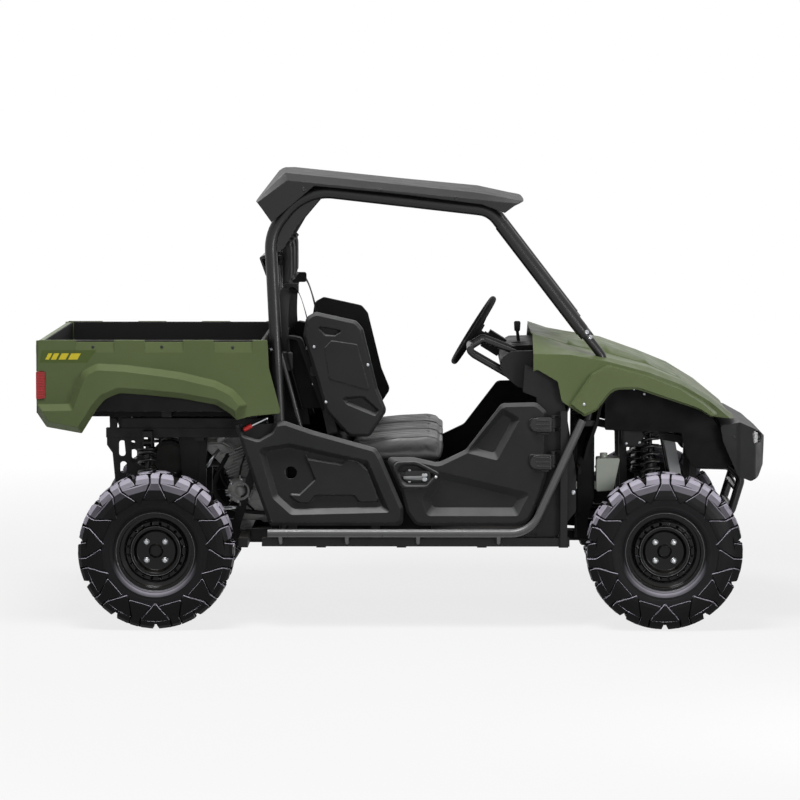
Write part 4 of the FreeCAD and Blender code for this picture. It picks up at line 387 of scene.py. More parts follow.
def seat_split(base, other):
    """Black side wings on a grey back pad: the place across one seat decides, and repeats at each seat."""
    made = base.copy()
    made.name = "back_pad_vinyl"
    tree = made.node_tree
    shader = tree.nodes["Principled BSDF"]
    across = put(tree, "ShaderNodeSeparateXYZ",
                 {0: put(tree, "ShaderNodeTexCoord").outputs["Object"]}).outputs[1]
    inner = put(tree, "ShaderNodeMath", {0: across, 1: 0.199, 2: -0.199}, operation="WRAP").outputs[0]
    mask = remap(tree, calc(tree, "ABSOLUTE", inner), 0.1375, 0.1385)
    old = shader.inputs["Base Color"].links[0].from_socket
    tree.links.new(mix_colour(tree, mask, old, other), shader.inputs["Base Color"])
    return made


two_vinyl = seat_split(vinyl, chip(26, 26, 27))
gate_low, gate_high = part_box("tailgate")
two_gate = split("gate_two_tone", 0, -1.5162, False, green, chip(14, 14, 15), 0.6, 0.0)
two_core = split("radiator_two_tone", 1, 0.1795, True, shade, chip(190, 192, 194), 0.42, 0.2)
print("gate from", round(gate_low.x, 3), "to", round(gate_high.x, 3))

# %% [markdown]
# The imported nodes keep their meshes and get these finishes. Nodes that are one material throughout are
# listed by finish, which also shows how few materials a vehicle like this is made of.

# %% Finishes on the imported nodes
DRESS = {
    green: "bed_side_left bed_side_right fender_left fender_right hood",
    black: "side_cover_left side_cover_right door_left door_right shoulder_bolsters front_bumper",
    darker: "dashboard floor_pan steering_column cab_controls",
    shade: "wheel_liners seat_box",
    roof_skin: "roof",
    powder: "cage_left cage_right cage_crossbars brush_guard hitch_receiver grab_handle",
    sill_gloss: "sill_bars",
    two_core: "radiator",
    two_gate: "tailgate",
    axle_paint: "frame_centre frame_front frame_rear suspension_arms drive_line tie_rods dampers "
                "coil_springs steering_rack front_knuckle_left front_knuckle_right rear_knuckles",
    liner: "cargo_tub",
    wheel_paint: "wheel_front_left wheel_front_right wheel_rear_left wheel_rear_right",
    rubber: "tyre_front_left tyre_front_right tyre_rear_left tyre_rear_right",
    vinyl: "seat_cushions seat_backs",
    grip: "headrests steering_wheel",
    cast: "engine",
    exhaust: "muffler",
    zinc: "bed_release",
    tank: "coolant_tank",
    red_lens: "tail_lamps",
    clear_lens: "headlights",
}
for material, names in DRESS.items():
    for node in names.split():
        for slot_at in nodes[node].material_slots:
            slot_at.material = material
print("nodes without a finish", sorted(set(nodes) - set(" ".join(DRESS.values()).split())))

# %% [markdown]
# The studio is a pale sweep without corners. A floor that also glows a little for the camera stays near
# white, yet still takes a soft shadow where the vehicle blocks the light.

# %% Floor
def flat_sheet(name, half, z):
    """A level square at height z, as far as half from the middle on each side."""
    mesh = bpy.data.meshes.new(name)
    mesh.from_pydata([(-half, -half, z), (half, -half, z), (half, half, z), (-half, half, z)], [],
                     [(0, 1, 2, 3)])
    made = bpy.data.objects.new(name, mesh)
    bpy.context.scene.collection.objects.link(made)
    return made


def seen_directly(tree):
    """1 for camera rays and for the reflections and refractions that show the background."""
    path = put(tree, "ShaderNodeLightPath").outputs
    some = calc(tree, "MAXIMUM", path["Is Camera Ray"], path["Is Glossy Ray"])
    return calc(tree, "MAXIMUM", some, path["Is Transmission Ray"])


floor = flat_sheet("studio_floor", 90.0, -0.0005)
floor_paint = bpy.data.materials.new("studio_floor")
floor_paint.use_nodes = True
tree = floor_paint.node_tree
tree.nodes.remove(tree.nodes["Principled BSDF"])
matt = put(tree, "ShaderNodeBsdfDiffuse", {"Color": grey(0.6)}).outputs[0]
glow = put(tree, "ShaderNodeEmission", {"Color": grey(1.0), "Strength": 1.0}).outputs[0]
away = put(tree, "ShaderNodeVectorMath", {0: put(tree, "ShaderNodeTexCoord").outputs["Object"]},
           operation="LENGTH")
glowing = remap(tree, away.outputs["Value"], 2.6, 7.0, 0.80, 1.0)
share = calc(tree, "MULTIPLY", seen_directly(tree), glowing)
both_ways = put(tree, "ShaderNodeMixShader", {0: share, 1: matt, 2: glow}).outputs[0]
tree.links.new(both_ways, tree.nodes["Material Output"].inputs["Surface"])
floor.data.materials.append(floor_paint)

# %% [markdown]
# The world is white where it is seen and a softer grey where it only lights the vehicle, so that big soft
# lamps overhead and in front can give the panels their shape.

# %% World and lamps
world = bpy.data.worlds.new("studio_world")
bpy.context.scene.world = world
world.use_nodes = True
tree = world.node_tree
tone = mix_colour(tree, seen_directly(tree), grey(0.10), grey(1.0))
tree.links.new(tone, tree.nodes["Background"].inputs["Color"])
tree.nodes["Background"].inputs["Strength"].default_value = 1.0


def soft_lamp(name, at, aim, size, power):
    """A square softbox that looks at a point."""
    data = bpy.data.lights.new(name, "AREA")
    data.shape, data.size, data.energy = "SQUARE", size, power
    made = bpy.data.objects.new(name, data)
    made.location = at
    made.rotation_euler = (Vector(aim) - Vector(at)).to_track_quat("-Z", "Y").to_euler()
    bpy.context.scene.collection.objects.link(made)


middle = (0.0, 0.0, 0.9)
soft_lamp("overhead", (-0.9, -2.3, 6.0), middle, 2.2, 330.0)
soft_lamp("key", (2.6, -4.2, 1.3), (1.0, -0.6, 0.95), 1.2, 66.0)
soft_lamp("camera_side", (0.0, -10.0, 2.6), middle, 4.0, 20.0)
soft_lamp("rear_rim", (-3.0, 4.6, 5.0), middle, 3.0, 60.0)

# %% [markdown]
# ## Smooth hood
# The hood leaves its mould with soft, flowing faces between a few crisp creases. In the frame its curve
# is a row of narrow flats. A copy whose points are joined can be shaded smooth, with only the edges that
# bend sharply left crisp. The shape stays exactly as it was: only the light runs evenly over it.

# %% Hood
CRISP_ANGLE = math.radians(11)


def joined_mesh(name, source, crisp):
    """A copy of a panel with joined points, shaded smooth but crisp where faces meet above an angle."""
    shape = bmesh.new()
    points = {}
    for polygon in source.polygons:
        corners = []
        for index in polygon.vertices:
            at = source.vertices[index].co
            key = tuple(round(c, 5) for c in at)
            if key not in points:
                points[key] = shape.verts.new(at)
            corners.append(points[key])
        if len(set(corners)) == len(corners) and not shape.faces.get(corners):
            shape.faces.new(corners).smooth = True
    for edge in shape.edges:
        edge.smooth = len(edge.link_faces) == 2 and edge.calc_face_angle(0.0) < crisp
    mesh = bpy.data.meshes.new(name)
    shape.to_mesh(mesh)
    shape.free()
    return mesh


panel = bpy.data.objects.new("hood_panel", joined_mesh("hood_panel", nodes["hood"].data, CRISP_ANGLE))
bpy.context.scene.collection.objects.link(panel)
panel.data.materials.append(green)
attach(panel, "chassis")
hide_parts("hood")
print(panel.name, len(panel.data.vertices), "points")

# %% [markdown]
# Every piece added here is a plain mesh whose place is in its points, which rides on one body of the
# frame. One helper makes the object with its finish, and another ties it to its body and hides the node
# that it stands for.

# %% Helpers for meshes
def mesh_piece(name, points, faces, material, smooth=True):
    """An object at the origin made from points and faces, with doubles merged and faces turned outwards."""
    mesh = bpy.data.meshes.new(name)
    mesh.from_pydata([tuple(p) for p in points], [], faces)
    work = bmesh.new()
    work.from_mesh(mesh)
    bmesh.ops.remove_doubles(work, verts=work.verts, dist=1e-6)
    bmesh.ops.recalc_face_normals(work, faces=work.faces)
    work.to_mesh(mesh)
    work.free()
    mesh.shade_smooth() if smooth else mesh.shade_flat()
    if material:
        mesh.materials.append(material)
    made = bpy.data.objects.new(name, mesh)
    bpy.context.scene.collection.objects.link(made)
    return made


def slab_faces(n):
    """Faces of a slab whose points are two outlines of n points: both ends, then the wall between."""
    ends = [tuple(range(n)), tuple(range(2 * n - 1, n - 1, -1))]
    return ends + [(i, i + n, (i + 1) % n + n, (i + 1) % n) for i in range(n)]


def settle(piece, body, stands_for=()):
    """Ties a finished piece to its body, and hides what it replaces."""
    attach(piece, body)
    if stands_for:
        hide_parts(*stands_for)
    print(f"{piece.name}: {len(piece.data.polygons)} faces on {body}")
    return piece


def lathe_y(name, section, centre, steps, material, closed=True):
    """Turns a section of (radius, y) points about a sideways axis through centre."""
    points, faces, n = [], [], len(section)
    for i in range(steps):
        a = 2 * math.pi * i / steps
        points += [(centre[0] + r * math.sin(a), centre[1] + y, centre[2] + r * math.cos(a))
                   for r, y in section]
    for i in range(steps):
        for k in range(n if closed else n - 1):
            a, b = i * n, ((i + 1) % steps) * n
            faces.append((a + k, a + (k + 1) % n, b + (k + 1) % n, b + k))
    return mesh_piece(name, points, faces, material)

# %% [markdown]
# Geometry Nodes repeat things. Each tree here takes named inputs, and a modifier's inputs are set by the
# socket's identifier. The evaluated result is turned into a plain mesh before the piece is tied to a
# body.

# %% Helpers for geometry trees
def new_tree(name, inputs):
    """An empty geometry tree with named inputs and an input for one material."""
    tree = bpy.data.node_groups.new(name, "GeometryNodeTree")
    tree.interface.new_socket(name="Geometry", in_out="INPUT", socket_type="NodeSocketGeometry")
    for label, kind in inputs:
        tree.interface.new_socket(name=label, in_out="INPUT", socket_type="NodeSocket" + kind)
    tree.interface.new_socket(name="Material", in_out="INPUT", socket_type="NodeSocketMaterial")
    tree.interface.new_socket(name="Geometry", in_out="OUTPUT", socket_type="NodeSocketGeometry")
    return tree, put(tree, "NodeGroupInput").outputs


def end_tree(tree, given, *shapes):
    """Joins the shapes, makes instances real, sets the material and ends the tree."""
    join = tree.nodes.new("GeometryNodeJoinGeometry")
    for shape in shapes:
        tree.links.new(shape, join.inputs[0])
    real = put(tree, "GeometryNodeRealizeInstances", {0: join.outputs[0]}).outputs[0]
    painted = put(tree, "GeometryNodeSetMaterial",
                  {"Geometry": real, "Material": given["Material"]}).outputs[0]
    put(tree, "NodeGroupOutput", {0: painted})


def grow(name, tree, values, host=None):
    """Runs a tree on a host mesh (or on nothing) and keeps the result as a plain mesh at the origin."""
    work = bpy.data.objects.new(name + "_work", host.data if host else bpy.data.meshes.new(name))
    bpy.context.scene.collection.objects.link(work)
    modifier = work.modifiers.new("grow", "NODES")
    modifier.node_group = tree
    for socket in tree.interface.items_tree:
        if socket.in_out == "INPUT" and socket.name in values:
            modifier[socket.identifier] = values[socket.name]
    bpy.context.view_layer.update()
    mesh = bpy.data.meshes.new_from_object(work.evaluated_get(bpy.context.evaluated_depsgraph_get()))
    bpy.data.objects.remove(work)
    if host:
        bpy.data.objects.remove(host)
    mesh.name = name
    made = bpy.data.objects.new(name, mesh)
    bpy.context.scene.collection.objects.link(made)
    return made

# %% [markdown]
# ## Tyres
# A mud tyre is a round carcass with tall rubber blocks. The blocks meet the ground in a pattern that
# repeats round the tyre, run over the shoulder and fade out on the sidewall. Two curves describe it all:
# the carcass and, above it, the surface that the block tops touch. Each is a list of radius, share of the
# half width and how far inside it lies, so that the wide rear tyres and the narrow front ones come from
# one drawing.

# %% The tyre's two curves
CARCASS = [  # radius, share of half width, less this much
    (0.3120, 0.00, 0.0), (0.3112, 0.41, 0.0), (0.3070, 0.71, 0.0), (0.2990, 1.0, 0.0310),
    (0.2850, 1.0, 0.0180), (0.2620, 1.0, 0.0100), (0.2410, 1.0, 0.0058), (0.2235, 1.0, 0.0046),
    (0.2080, 1.0, 0.0060)]
TOPS = [
    (0.3306, 0.00, 0.0), (0.3298, 0.42, 0.0), (0.3250, 0.74, 0.0), (0.3125, 1.0, 0.0175),
    (0.2900, 1.0, 0.0090), (0.2640, 1.0, 0.0034), (0.2420, 1.0, 0.0010), (0.2240, 1.0, 0.0012),
    (0.2080, 1.0, 0.0042)]
SIDEWALL = [
    (0.2010, 1.0, 0.0070), (0.1935, 1.0, 0.0086), (0.1905, 1.0, 0.0078), (0.1885, 1.0, 0.0088),
    (0.1830, 1.0, 0.0108), (0.1778, 1.0, 0.0146), (0.1742, 1.0, 0.0196), (0.1722, 1.0, 0.0262),
    (0.1708, 1.0, 0.0325), (0.1695, 1.0, 0.0346), (0.1565, 1.0, 0.0352)]


def on_curve(curve, t, half):
    """Radius and sideways place at station t, which counts along the curve's points."""
    k = min(int(t), len(curve) - 2)
    (r0, s0, d0), (r1, s1, d1) = curve[k], curve[k + 1]
    u = t - k
    return r0 + (r1 - r0) * u, (s0 * half - d0) * (1 - u) + (s1 * half - d1) * u


def carcass(name, centre, half):
    """The tyre without its blocks: a closed section of outer skin, bead and inner skin."""
    side = [on_curve(CARCASS, t, half) for t in np.arange(0.5, 8.01, 0.5)]
    side += [(r, s * half - d) for r, s, d in SIDEWALL]
    inner = [(max(r - 0.011, 0.158), y - 0.012) for r, y in side if r > 0.176 and y > 0.030]
    outer = [(r, -y) for r, y in reversed(side)] + [(CARCASS[0][0], 0.0)] + side
    section = outer + list(reversed(inner)) + [(r, -y) for r, y in inner]
    made = lathe_y(name, section, centre, 132, rubber)
    made.data.materials.append(groove_rubber)
    for face in made.data.polygons:
        x, _, z = face.center - centre
        face.material_index = int(math.hypot(x, z) > 0.2230)
    return made

# %% [markdown]
# One pitch of the pattern has a broad lug whose sides draw together to a point on the sidewall, split at
# the shoulder by a notch, and between two of those a lug that widens the other way. Bars cross the crown.
# Each lug is a ribbon: at a few stations along the curves, the angles of its two edges. Both sides have
# the same lugs at the same angles, so that open channels cross the tyre and throw the mud out.

# %% One pitch of tread
PITCHES = 11
BLOCKS = [  # (station, from degrees, to degrees) along each lug
    [(1.15, -2.6, 3.4), (2.0, -3.2, 3.2), (3.0, -3.2, 3.2), (4.0, -3.3, 3.3), (5.0, -6.3, 6.3),
     (6.0, -9.7, 9.7), (6.6, -11.3, 11.3), (6.85, -10.7, 10.7)],
    [(1.3, 5.4, 12.6), (2.0, 4.9, 13.8), (3.0, 4.7, 14.9), (3.85, 4.7, 16.0)],
    [(1.5, 18.4, 25.9), (2.0, 18.6, 27.4), (3.0, 17.8, 28.0), (3.85, 16.7, 28.0)],
    [(3.75, 4.7, 28.0), (4.0, 4.9, 27.8), (5.0, 7.7, 25.0), (6.0, 11.2, 21.5), (7.0, 14.4, 18.3),
     (7.5, 15.7, 17.0)],
    [(-0.45, 3.4, 10.2), (0.3, 1.4, 8.6), (1.0, -1.2, 6.6)],
    [(-0.25, 18.6, 25.6), (0.5, 20.2, 27.4), (1.2, 21.8, 29.6)],
]


def tread_pitch(name, centre, half):
    """The blocks of one pitch on both sides of the tyre."""
    points, faces = [], []
    for side in (1, -1):
        for block in BLOCKS:
            first = len(points)
            for t, a, b in block:
                for edge, lift in ((a - 0.5, -0.25), (a - 0.12, 0.86), (a + 0.25, 1.0), (b - 0.25, 1.0),
                                   (b + 0.12, 0.86), (b + 0.5, -0.25)):
                    r0, y0 = on_curve(CARCASS, abs(t), half)
                    r1, y1 = on_curve(TOPS, abs(t), half)
                    r, y = r0 + (r1 - r0) * lift, (y0 + (y1 - y0) * lift) * (1 if t >= 0 else -1)
                    turn = math.radians(edge)
                    points.append((centre[0] + r * math.sin(turn), centre[1] + side * y,
                                   centre[2] + r * math.cos(turn)))
            last = len(block) - 1
            for i in range(last):
                a, b = first + 6 * i, first + 6 * (i + 1)
                faces += [(a + k, a + k + 1, b + k + 1, b + k) for k in range(5)] + [(a + 5, a, b, b + 5)]
            faces += [tuple(first + k for k in range(6)), tuple(first + 6 * last + k for k in range(6))]
    return mesh_piece(name, points, faces, tread_rubber, smooth=False)

# %% [markdown]
# The tree turns copies of the pitch about the axle. Points sit on the axle with no size of their own, and
# each instance is turned by its index, which keeps the blocks' own places on the tyre.

# %% Tree: turn copies about the axle
turn_tree, given = new_tree("turn_about_axle", [("Piece", "Object"), ("Count", "Int"), ("Axle", "Vector")])
piece = put(turn_tree, "GeometryNodeObjectInfo", {"Object": given["Piece"]}).outputs["Geometry"]
back = put(turn_tree, "ShaderNodeVectorMath", {0: given["Axle"], "Scale": -1.0},
           operation="SCALE").outputs[0]
centred = put(turn_tree, "GeometryNodeTransform", {"Geometry": piece, "Translation": back}).outputs[0]
spots = put(turn_tree, "GeometryNodePoints", {"Count": given["Count"]}).outputs[0]
step = calc(turn_tree, "DIVIDE", 2 * math.pi, given["Count"])
angle = calc(turn_tree, "MULTIPLY", put(turn_tree, "GeometryNodeInputIndex").outputs[0], step)
turned = put(turn_tree, "ShaderNodeCombineXYZ", {1: angle}).outputs[0]
ring = put(turn_tree, "GeometryNodeInstanceOnPoints", {"Points": spots, "Instance": centred,
                                                       "Rotation": turned}).outputs[0]
real = put(turn_tree, "GeometryNodeRealizeInstances", {0: ring}).outputs[0]
home = put(turn_tree, "GeometryNodeTransform", {"Geometry": real, "Translation": given["Axle"]}).outputs[0]
end_tree(turn_tree, given, home)

# %% [markdown]
# Each tyre takes its centre and width from the frame. The carcass and the tread stay two pieces on the
# same wheel, because the blocks are polished by use while the rubber between them stays dull.

# %% Four tyres
for end in ("front", "rear"):
    for side in ("left", "right"):
        node = f"tyre_{end}_{side}"
        low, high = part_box(node)
        centre, half = (low + high) / 2, (high.y - low.y) / 2
        pitch = tread_pitch("pitch", centre, half)
        tread = grow(f"tread_{end}_{side}", turn_tree, {"Piece": pitch, "Count": PITCHES,
                                                        "Axle": tuple(centre), "Material": tread_rubber})
        bpy.data.objects.remove(pitch)
        settle(carcass(f"carcass_{end}_{side}", centre, half), f"{end}_wheel_{side}", [node])
        settle(tread, f"{end}_wheel_{side}", [node])

# %% [markdown]
# ## Springs
# In the frame each coil spring is a plain sleeve, enough for its size and place. The real spring is steel
# wire in a helix with its last turns flattened, so that light shows between the coils. The sleeve's own
# points say where the spring stands: its axis runs from the middle of its lowest points to that of its
# highest.

# %% Where the springs stand
def sleeve_axes(node):
    """Name, end centres and outer radius of each sleeve of a node, one in each quarter of the vehicle."""
    all_points = np.array([v.co for v in nodes[node].data.vertices])
    for fore in (1, -1):
        for side in (1, -1):
            cloud = all_points[(np.sign(all_points[:, 0]) == fore) & (np.sign(all_points[:, 1]) == side)]
            low, high = cloud.min(0), cloud.max(0)
            top = cloud[cloud[:, 2] > high[2] - 0.03].mean(0)
            bottom = cloud[cloud[:, 2] < low[2] + 0.03].mean(0)
            way = (top - bottom) / np.linalg.norm(top - bottom)
            along = (cloud - bottom) @ way
            across = np.linalg.norm(cloud - bottom - np.outer(along, way), axis=1)
            yield ("front" if fore > 0 else "rear") + ("_left" if side > 0 else "_right"), \
                bottom + way * along.min(), bottom + way * along.max(), float(np.percentile(across, 98))

# %% [markdown]
# The tree bends one straight line of points into a helix by their share of its length. Near both ends the
# share hardly rises, which lays the last turns flat as on a ground spring. A small circle is swept along
# it.

# %% Tree: coil spring
coil_tree, given = new_tree("coil_spring", [("Turns", "Float"), ("Radius", "Float"), ("Wire", "Float"),
                                            ("Height", "Float"), ("Foot", "Vector"), ("Tilt", "Vector")])
wire = put(coil_tree, "GeometryNodeCurvePrimitiveCircle",
           {"Resolution": 8, "Radius": given["Wire"]}).outputs[0]
line = put(coil_tree, "GeometryNodeCurvePrimitiveLine", {"Start": (0, 0, 0), "End": (0, 0, 1)}).outputs[0]
fine = put(coil_tree, "GeometryNodeResampleCurve", {"Curve": line, "Count": 240}).outputs[0]
share = put(coil_tree, "GeometryNodeSplineParameter").outputs["Factor"]
turning = calc(coil_tree, "MULTIPLY", calc(coil_tree, "MULTIPLY", share, given["Turns"]), 2 * math.pi)
eased = put(coil_tree, "ShaderNodeMapRange", {0: share, 1: 0.09, 2: 0.91, 3: 0.02, 4: 0.98}).outputs[0]
rise = calc(coil_tree, "MULTIPLY", eased, given["Height"])
spot = put(coil_tree, "ShaderNodeCombineXYZ", {
    0: calc(coil_tree, "MULTIPLY", calc(coil_tree, "COSINE", turning), given["Radius"]),
    1: calc(coil_tree, "MULTIPLY", calc(coil_tree, "SINE", turning), given["Radius"]), 2: rise}).outputs[0]
helix = put(coil_tree, "GeometryNodeSetPosition", {"Geometry": fine, "Position": spot}).outputs[0]
solid = put(coil_tree, "GeometryNodeCurveToMesh", {"Curve": helix, "Profile Curve": wire,
                                                   "Fill Caps": True}).outputs[0]
smooth = put(coil_tree, "GeometryNodeSetShadeSmooth", {0: solid}).outputs[0]
placed = put(coil_tree, "GeometryNodeTransform", {"Geometry": smooth, "Translation": given["Foot"],
                                                  "Rotation": given["Tilt"]}).outputs[0]
end_tree(coil_tree, given, placed)

# %% [markdown]
# Each corner gets a spring as tall as its sleeve. The wire is 15 mm thick, and the rear springs have half
# a turn more because they carry the load.

# %% Four springs
WIRE_RADIUS = 0.0074
FRONT_TURNS, REAR_TURNS = 9.5, 10.0
spring_paint = finish_of("spring_paint", chip(13, 13, 14), chip(9, 9, 10), 0.32, dust_and_sheen=0.15, edge=0.001,
                         specular_ior_level=0.5)
for label, foot, head, reach in sleeve_axes("coil_springs"):
    way = Vector(head - foot)
    tilt = way.to_track_quat("Z", "Y").to_euler()
    print(f"spring {label}: {way.length * 1000:.0f} mm tall, {2000 * reach:.0f} mm across")
    spring = grow(f"spring_{label}", coil_tree, {
        "Turns": FRONT_TURNS if label.startswith("front") else REAR_TURNS,
        "Radius": reach - WIRE_RADIUS - 0.0004, "Wire": WIRE_RADIUS, "Height": way.length,
        "Foot": tuple(foot), "Tilt": tuple(tilt), "Material": spring_paint})
    settle(spring, "chassis", ["coil_springs"])

# %% [markdown]
# ## Seats
# The bench has three foam pads on a moulded box, three backs and three headrests, all in stitched vinyl.
# A stuffed cover bulges between its seams and pulls in at them. A pressure cloth simulation gives just
# that: the blank is a rounded prism, remeshed evenly, its seam lines are pinned, and pressure swells the
# rest. A cap on how far a point may move stands for the foam, which fills the cover but doesn't inflate
# it.

# %% Blanks
NET_SIZE = 0.006  # side of the even net that the cloth is made of


def prism(name, outline, lay, half, soft):
    """Closed prism of an outline in u and v, from -half to half across, with rounded edges."""
    points = [lay(u, v, w) for w in (-half, half) for u, v in outline]
    made = mesh_piece(name, points, slab_faces(len(outline)), vinyl)
    edge = made.modifiers.new("rounding", "BEVEL")
    edge.width, edge.segments, edge.limit_method = soft, 4, "NONE"
    even = made.modifiers.new("even_net", "REMESH")
    even.mode, even.voxel_size = "VOXEL", NET_SIZE
    return plain(made)


def plain(made):
    """Turns an object's modifiers into plain mesh, in a new object."""
    bpy.context.view_layer.update()
    mesh = bpy.data.meshes.new_from_object(made.evaluated_get(bpy.context.evaluated_depsgraph_get()))
    name = made.name
    bpy.data.objects.remove(made)
    fresh = bpy.data.objects.new(name, mesh)
    bpy.context.scene.collection.objects.link(fresh)
    return fresh


print("blanks have a net of", 1000 * NET_SIZE, "mm")

# %% [markdown]
# Seams are drawn as lines in the plane of the sewn face. What a point does depends on how far it is from
# the nearest seam, so that distance is worked out for all points at once.

# %% Distance to the seams
def near_lines(points, lines):
    """Distance of each point, given in the plane of the lines, to the nearest segment."""
    best = np.full(len(points), 9.0)
    for line in lines:
        for a, b in zip(line[:-1], line[1:]):
            a, b = np.array(a), np.array(b)
            along = np.clip(((points - a) @ (b - a)) / max((b - a) @ (b - a), 1e-9), 0, 1)
            best = np.minimum(best, np.linalg.norm(points - a - along[:, None] * (b - a), axis=1))
    return best


def where(made):
    """All vertex places as an array."""
    flat = np.empty(len(made.data.vertices) * 3)
    made.data.vertices.foreach_get("co", flat)
    return flat.reshape(-1, 3)


print("a point 3 mm off a seam:", near_lines(np.array([[0.5, 0.003]]), [[(0.0, 0.0), (1.0, 0.0)]]))

# %% [markdown]
# The simulation holds the points on the seams and lets air pressure push the rest out for twenty frames.
# Then each point's way is cut to the cap, and the channels are pressed in as smooth valleys.

# %% Stuffing a blank
PRESSURE = 4.0
CLOTH_FRAMES = 20
PIN_REACH = 0.005  # a point this near a seam is held
CHANNEL = 0.0065  # depth and half width of a sewn channel
SEWN_FACE = 0.25  # how squarely a point has to face the seams' side


def stuff(made, flat_of, faces_way, seams, cap):
    """Pins the seams, swells the pad by cloth pressure, then sinks the seam channels. flat_of picks the two
    coordinates in which the seams are drawn, and faces_way is the direction that the sewn face looks."""
    start = where(made)
    normals = np.array([v.normal[:] for v in made.data.vertices])
    sewn = normals @ np.array(faces_way) > SEWN_FACE
    gap = near_lines(start[:, flat_of], seams)
    pins = made.vertex_groups.new(name="seams")
    pins.add([int(i) for i in np.nonzero(sewn & (gap < PIN_REACH))[0]], 1.0, "REPLACE")
    cloth = made.modifiers.new("stuffing", "CLOTH")
    cloth.settings.use_pressure = True
    cloth.settings.uniform_pressure_force = PRESSURE
    cloth.settings.effector_weights.gravity = 0.0
    cloth.settings.vertex_group_mass = "seams"
    cloth.settings.quality = 4
    for frame_at in range(1, CLOTH_FRAMES + 1):
        bpy.context.scene.frame_set(frame_at)
    made = plain(made)
    made.vertex_groups.clear()
    bpy.context.scene.frame_set(1)
    now = where(made)
    step = now - start
    size = np.linalg.norm(step, axis=1, keepdims=True)
    now = start + step * np.minimum(1.0, cap / np.maximum(size, 1e-9))
    sink = np.where(sewn, CHANNEL * np.exp(-(gap / CHANNEL) ** 2), 0.0)
    now -= np.array(faces_way) * sink[:, None]
    made.data.vertices.foreach_set("co", now.ravel())
    smooth = made.modifiers.new("finish", "SUBSURF")
    smooth.levels = smooth.render_levels = 1
    made = plain(made)
    made.data.shade_smooth()
    print(made.name, "points", len(made.data.vertices), "largest swell mm",
          round(float(size.max()) * 1000, 1))
    return made

# %% [markdown]
# Each pad is cut once and set out three times. The seat pad's grey top has a tapered panel with two
# pleats in it. The back has the same panel upright between darker side wings, and the headrest is plain
# with one seam round its face.

# %% Three kinds of pad
SEAT_PITCH = 0.398
PAD_HALF = 0.186
PAD_SECTION = [(-0.2180, 0.7070), (0.1640, 0.7070), (0.1690, 0.7640), (0.1500, 0.7960), (0.1020, 0.8070),
               (-0.0200, 0.8030), (-0.1300, 0.7920), (-0.2180, 0.7830)]
PAD_SEAMS = [[(-0.23, 0.148), (0.02, 0.132), (0.105, 0.092), (0.105, -0.092), (0.02, -0.132),
              (-0.23, -0.148)],
             [(-0.23, 0.052), (0.085, 0.036)], [(-0.23, -0.052), (0.085, -0.036)],
             [(0.150, -0.2), (0.150, 0.2)]]
BACK_SECTION = [(-0.2640, 0.8170), (-0.1900, 0.8170), (-0.1890, 0.9000), (-0.2130, 1.0050),
                (-0.2400, 1.0900), (-0.2850, 1.2440), (-0.3150, 1.2600), (-0.3480, 1.2520),
                (-0.3830, 1.1250), (-0.3180, 0.9400)]
BACK_SEAMS = [[(0.150, 0.80), (0.140, 1.06), (0.105, 1.195), (-0.105, 1.195), (-0.140, 1.06),
               (-0.150, 0.80)],
              [(0.050, 0.80), (0.038, 1.17)], [(-0.050, 0.80), (-0.038, 1.17)]]
HEAD_SECTION = [(-0.117, 1.450), (-0.100, 1.432), (0.100, 1.432), (0.117, 1.450), (0.112, 1.610),
                (0.090, 1.632), (-0.090, 1.632), (-0.112, 1.610)]
HEAD_SEAMS = [[(-0.094, 1.456), (0.094, 1.456), (0.090, 1.608), (-0.090, 1.608), (-0.094, 1.456)]]


def across_seat(u, v, w):
    """A section drawn from the side, with the pad's width across the vehicle."""
    return u, w, v


def on_headrest(u, v, w):
    """A section drawn from the front, with the pad's thickness along the vehicle."""
    return w - 0.496, u, v


seat_pad = stuff(prism("seat_pad", PAD_SECTION, across_seat, PAD_HALF, 0.016), [0, 1], (0, 0, 1), PAD_SEAMS,
                 0.008)
back_pad = stuff(prism("back_pad", BACK_SECTION, across_seat, PAD_HALF, 0.014), [1, 2], (0.94, 0, 0.34),
                 BACK_SEAMS, 0.008)
head_pad = stuff(prism("head_pad", HEAD_SECTION, on_headrest, 0.015, 0.010), [1, 2], (1, 0, 0), HEAD_SEAMS,
                 0.005)

# %% [markdown]
# The seams are stitched with a thick thread. A ray dropped on the pad finds the surface under a drawn
# line, the line becomes a mesh of edges, and one tree lays single stitches of a fixed length along it. A
# cord of piping closes each side edge, as a tube on a smooth spline.

# %% Tree: stitches along a line
sew_tree, given = new_tree("sewn_line", [("Stitch", "Float"), ("Gap", "Float"), ("Thickness", "Float")])
line = put(sew_tree, "GeometryNodeMeshToCurve", {0: given["Geometry"]}).outputs[0]
spaced = put(sew_tree, "GeometryNodeResampleCurve", {"Curve": line, "Length": given["Gap"]},
             mode="LENGTH").outputs[0]
spots = put(sew_tree, "GeometryNodeCurveToPoints", {"Curve": spaced}, mode="EVALUATED")
thread = put(sew_tree, "GeometryNodeCurvePrimitiveLine", {
    0: put(sew_tree, "ShaderNodeCombineXYZ",
           {2: calc(sew_tree, "MULTIPLY", given["Stitch"], -0.5)}).outputs[0],
    1: put(sew_tree, "ShaderNodeCombineXYZ",
           {2: calc(sew_tree, "MULTIPLY", given["Stitch"], 0.5)}).outputs[0]}).outputs[0]
round_of = put(sew_tree, "GeometryNodeCurvePrimitiveCircle",
               {"Resolution": 6, "Radius": given["Thickness"]}).outputs["Curve"]
stitch = put(sew_tree, "GeometryNodeCurveToMesh", {0: thread, 1: round_of, "Fill Caps": True}).outputs[0]
laid = put(sew_tree, "GeometryNodeInstanceOnPoints", {"Points": spots.outputs["Points"], "Instance": stitch,
                                                     "Rotation": spots.outputs["Rotation"]}).outputs[0]
